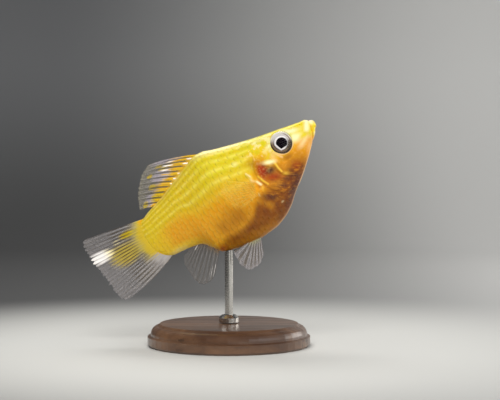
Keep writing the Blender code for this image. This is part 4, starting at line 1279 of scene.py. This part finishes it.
def metal_material():
    shader = Shader("polished_steel")
    where = shader.where()
    brushed = shader.noise(900.0, 2.0, shader.stretch(where, (1.0, 1.0, 12.0)), 0.6)
    shader.set(Base_Color=shader.mix(brushed, STEEL_PALE, STEEL_DARK), Metallic=1.0,
               Roughness=shader.step(brushed, 0.3, 0.7, 0.16, 0.3))
    shader.bump(brushed, 0.00001, 0.4)
    return shader.material


def dress_stand():
    wood, metal = wood_material(), metal_material()
    for node, material in (("stand_base", wood), ("stand_rod", metal), ("stand_collar", metal)):
        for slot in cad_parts[node].material_slots:
            slot.material = material


# Studio

CAMERA_DISTANCE = 0.375
FRAME_CENTRE = Vector((0.0057, 0.0, 0.0393))
CAMERA_RISE = math.radians(1.5)
BOWL_RADIUS, BOWL_BEND, BOWL_HEIGHT = 0.66, 0.26, 0.5
FLOOR, WALL_LOW = (0.6, 0.6, 0.58), (0.035, 0.035, 0.035)
WALL_LEFT, WALL_RIGHT = (0.143, 0.146, 0.152), (0.66, 0.66, 0.65)
# Where each light stands, its size, power and colour, and whether it shows as a highlight
LIGHTS = {"key": ((-0.04, -0.46, 0.40), (0.5, 0.4), 3.85, (1.0, 0.985, 0.95), False),
          "rim": ((-0.1, 0.3, 0.5), (0.35, 0.25), 1.5, (1.0, 0.98, 0.95), True),
          "fill": ((0.45, -0.3, 0.25), (0.4, 0.4), 0.6, (0.9, 0.95, 1.0), True),
          "edge": ((0.42, 0.2, 0.08), (0.3, 0.3), 1.0, (1.0, 0.97, 0.93), True)}
LIT_POINT = Vector((0.0, 0.0, 0.035))
SKY, SKY_POWER = (0.55, 0.58, 0.62, 1.0), 0.18


def studio_material():
    """A painted pool of light on the floor round the stand; a wall dark on the picture's left and low.
    """
    shader = Shader("studio")
    where = shader.nodes.new("ShaderNodeSeparateXYZ")
    shader.links.new(shader.where(), where.inputs[0])
    x, y, z = where.outputs
    reach = shader.math("SQRT", shader.math("ADD", shader.times(x, x), shader.times(y, y)))
    wall = shader.mix(shader.step(x, -0.14, 0.2), WALL_LEFT, WALL_RIGHT)
    low = shader.times(shader.step(z, 0.13, 0.0, 0.0, 0.8), shader.step(x, -0.05, 0.14, 1.0, 0.2))
    wall = shader.mix(low, wall, WALL_LOW)
    # Pale only within 5 to 15 cm of the middle, a painted pool of light; further out the wall's tones
    shader.set(Base_Color=shader.mix(shader.step(reach, 0.05, 0.15), FLOOR, wall), Roughness=0.9)
    return shader.material


def make_studio():
    """A floor that curves up all round into a wall."""
    sides, bend = 96, 24
    outline = [(r, 0.0) for r in (0.05, 0.1, 0.15, 0.2, 0.25, 0.33)]
    flat = BOWL_RADIUS - BOWL_BEND
    for k in range(bend + 1):
        turn = math.pi / 2.0 * k / bend
        outline.append((flat + BOWL_BEND * math.sin(turn), BOWL_BEND * (1.0 - math.cos(turn))))
    outline.append((BOWL_RADIUS, BOWL_HEIGHT))
    outline = np.array(outline)
    turn = np.linspace(0.0, 2.0 * math.pi, sides, endpoint=False)
    rings = np.stack([outline[:, :1] * np.cos(turn), outline[:, :1] * np.sin(turn),
                      np.broadcast_to(outline[:, 1:], (len(outline), sides))], axis=-1)
    faces = grid_quads(len(outline), sides, closed=True)[:, ::-1].tolist()
    hub = len(outline) * sides
    faces += [[hub, k, (k + 1) % sides] for k in range(sides)]
    mesh = bpy.data.meshes.new("studio")
    mesh.from_pydata(rings.reshape(-1, 3).tolist() + [(0.0, 0.0, 0.0)], [], faces)
    mesh.shade_smooth()
    studio = bpy.data.objects.new("studio", mesh)
    mesh.materials.append(studio_material())
    bpy.context.scene.collection.objects.link(studio)
    studio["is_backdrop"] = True


def add_light(name, position, size, power, colour, shows):
    lamp = bpy.data.lights.new(name, "AREA")
    lamp.shape = "RECTANGLE"
    lamp.size, lamp.size_y = size
    lamp.energy = power
    lamp.color = colour
    holder = bpy.data.objects.new(name, lamp)
    holder.visible_camera = False
    holder.visible_glossy = shows
    holder.location = position
    holder.rotation_euler = (Vector(position) - LIT_POINT).to_track_quat("Z", "Y").to_euler()
    bpy.context.scene.collection.objects.link(holder)


def make_camera():
    lens = bpy.data.cameras.new("camera")
    lens.lens = 100.0
    lens.sensor_width = 36.0
    lens.clip_start = 0.01
    camera = bpy.data.objects.new("camera", lens)
    back = Vector((0.0, -math.cos(CAMERA_RISE), math.sin(CAMERA_RISE)))
    camera.location = FRAME_CENTRE + back * CAMERA_DISTANCE
    camera.rotation_euler = back.to_track_quat("Z", "Y").to_euler()
    bpy.context.scene.collection.objects.link(camera)
    bpy.context.scene.camera = camera


def light_studio():
    for name, light in LIGHTS.items():
        add_light(name, *light)
    world = bpy.data.worlds.new("world")
    world.use_nodes = True
    sky = world.node_tree.nodes["Background"]
    sky.inputs["Color"].default_value = SKY
    sky.inputs["Strength"].default_value = SKY_POWER
    bpy.context.scene.world = world
    bpy.context.scene.view_settings.view_transform = "Standard"


def main():
    make_camera()
    make_studio()
    light_studio()
    skin = skin_material()
    make_skin(skin)
    scales = scale_material()
    iris, pupil, cornea = iris_material(), pupil_material(), cornea_material()
    pelvic = fin_materials("pelvic", PELVIC_RAYS)
    pectoral = fin_materials("pectoral", PECTORAL_RAYS)
    for side in (1, -1):
        make_scales(side, scales)
        make_eye(side, iris, pupil, cornea, skin)
        make_pelvic_fin(side, *pelvic)
        make_pectoral_fin(side, *pectoral)
    make_dorsal_fin()
    make_caudal_fin()
    make_anal_fin()
    dress_stand()


def plain(box):
    """A box as lists of plain numbers, which can be written to a file."""
    return [[float(value) for value in corner] for corner in box]


main()
{"cad": plain(CAD_BOX), "visual": plain(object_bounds())}
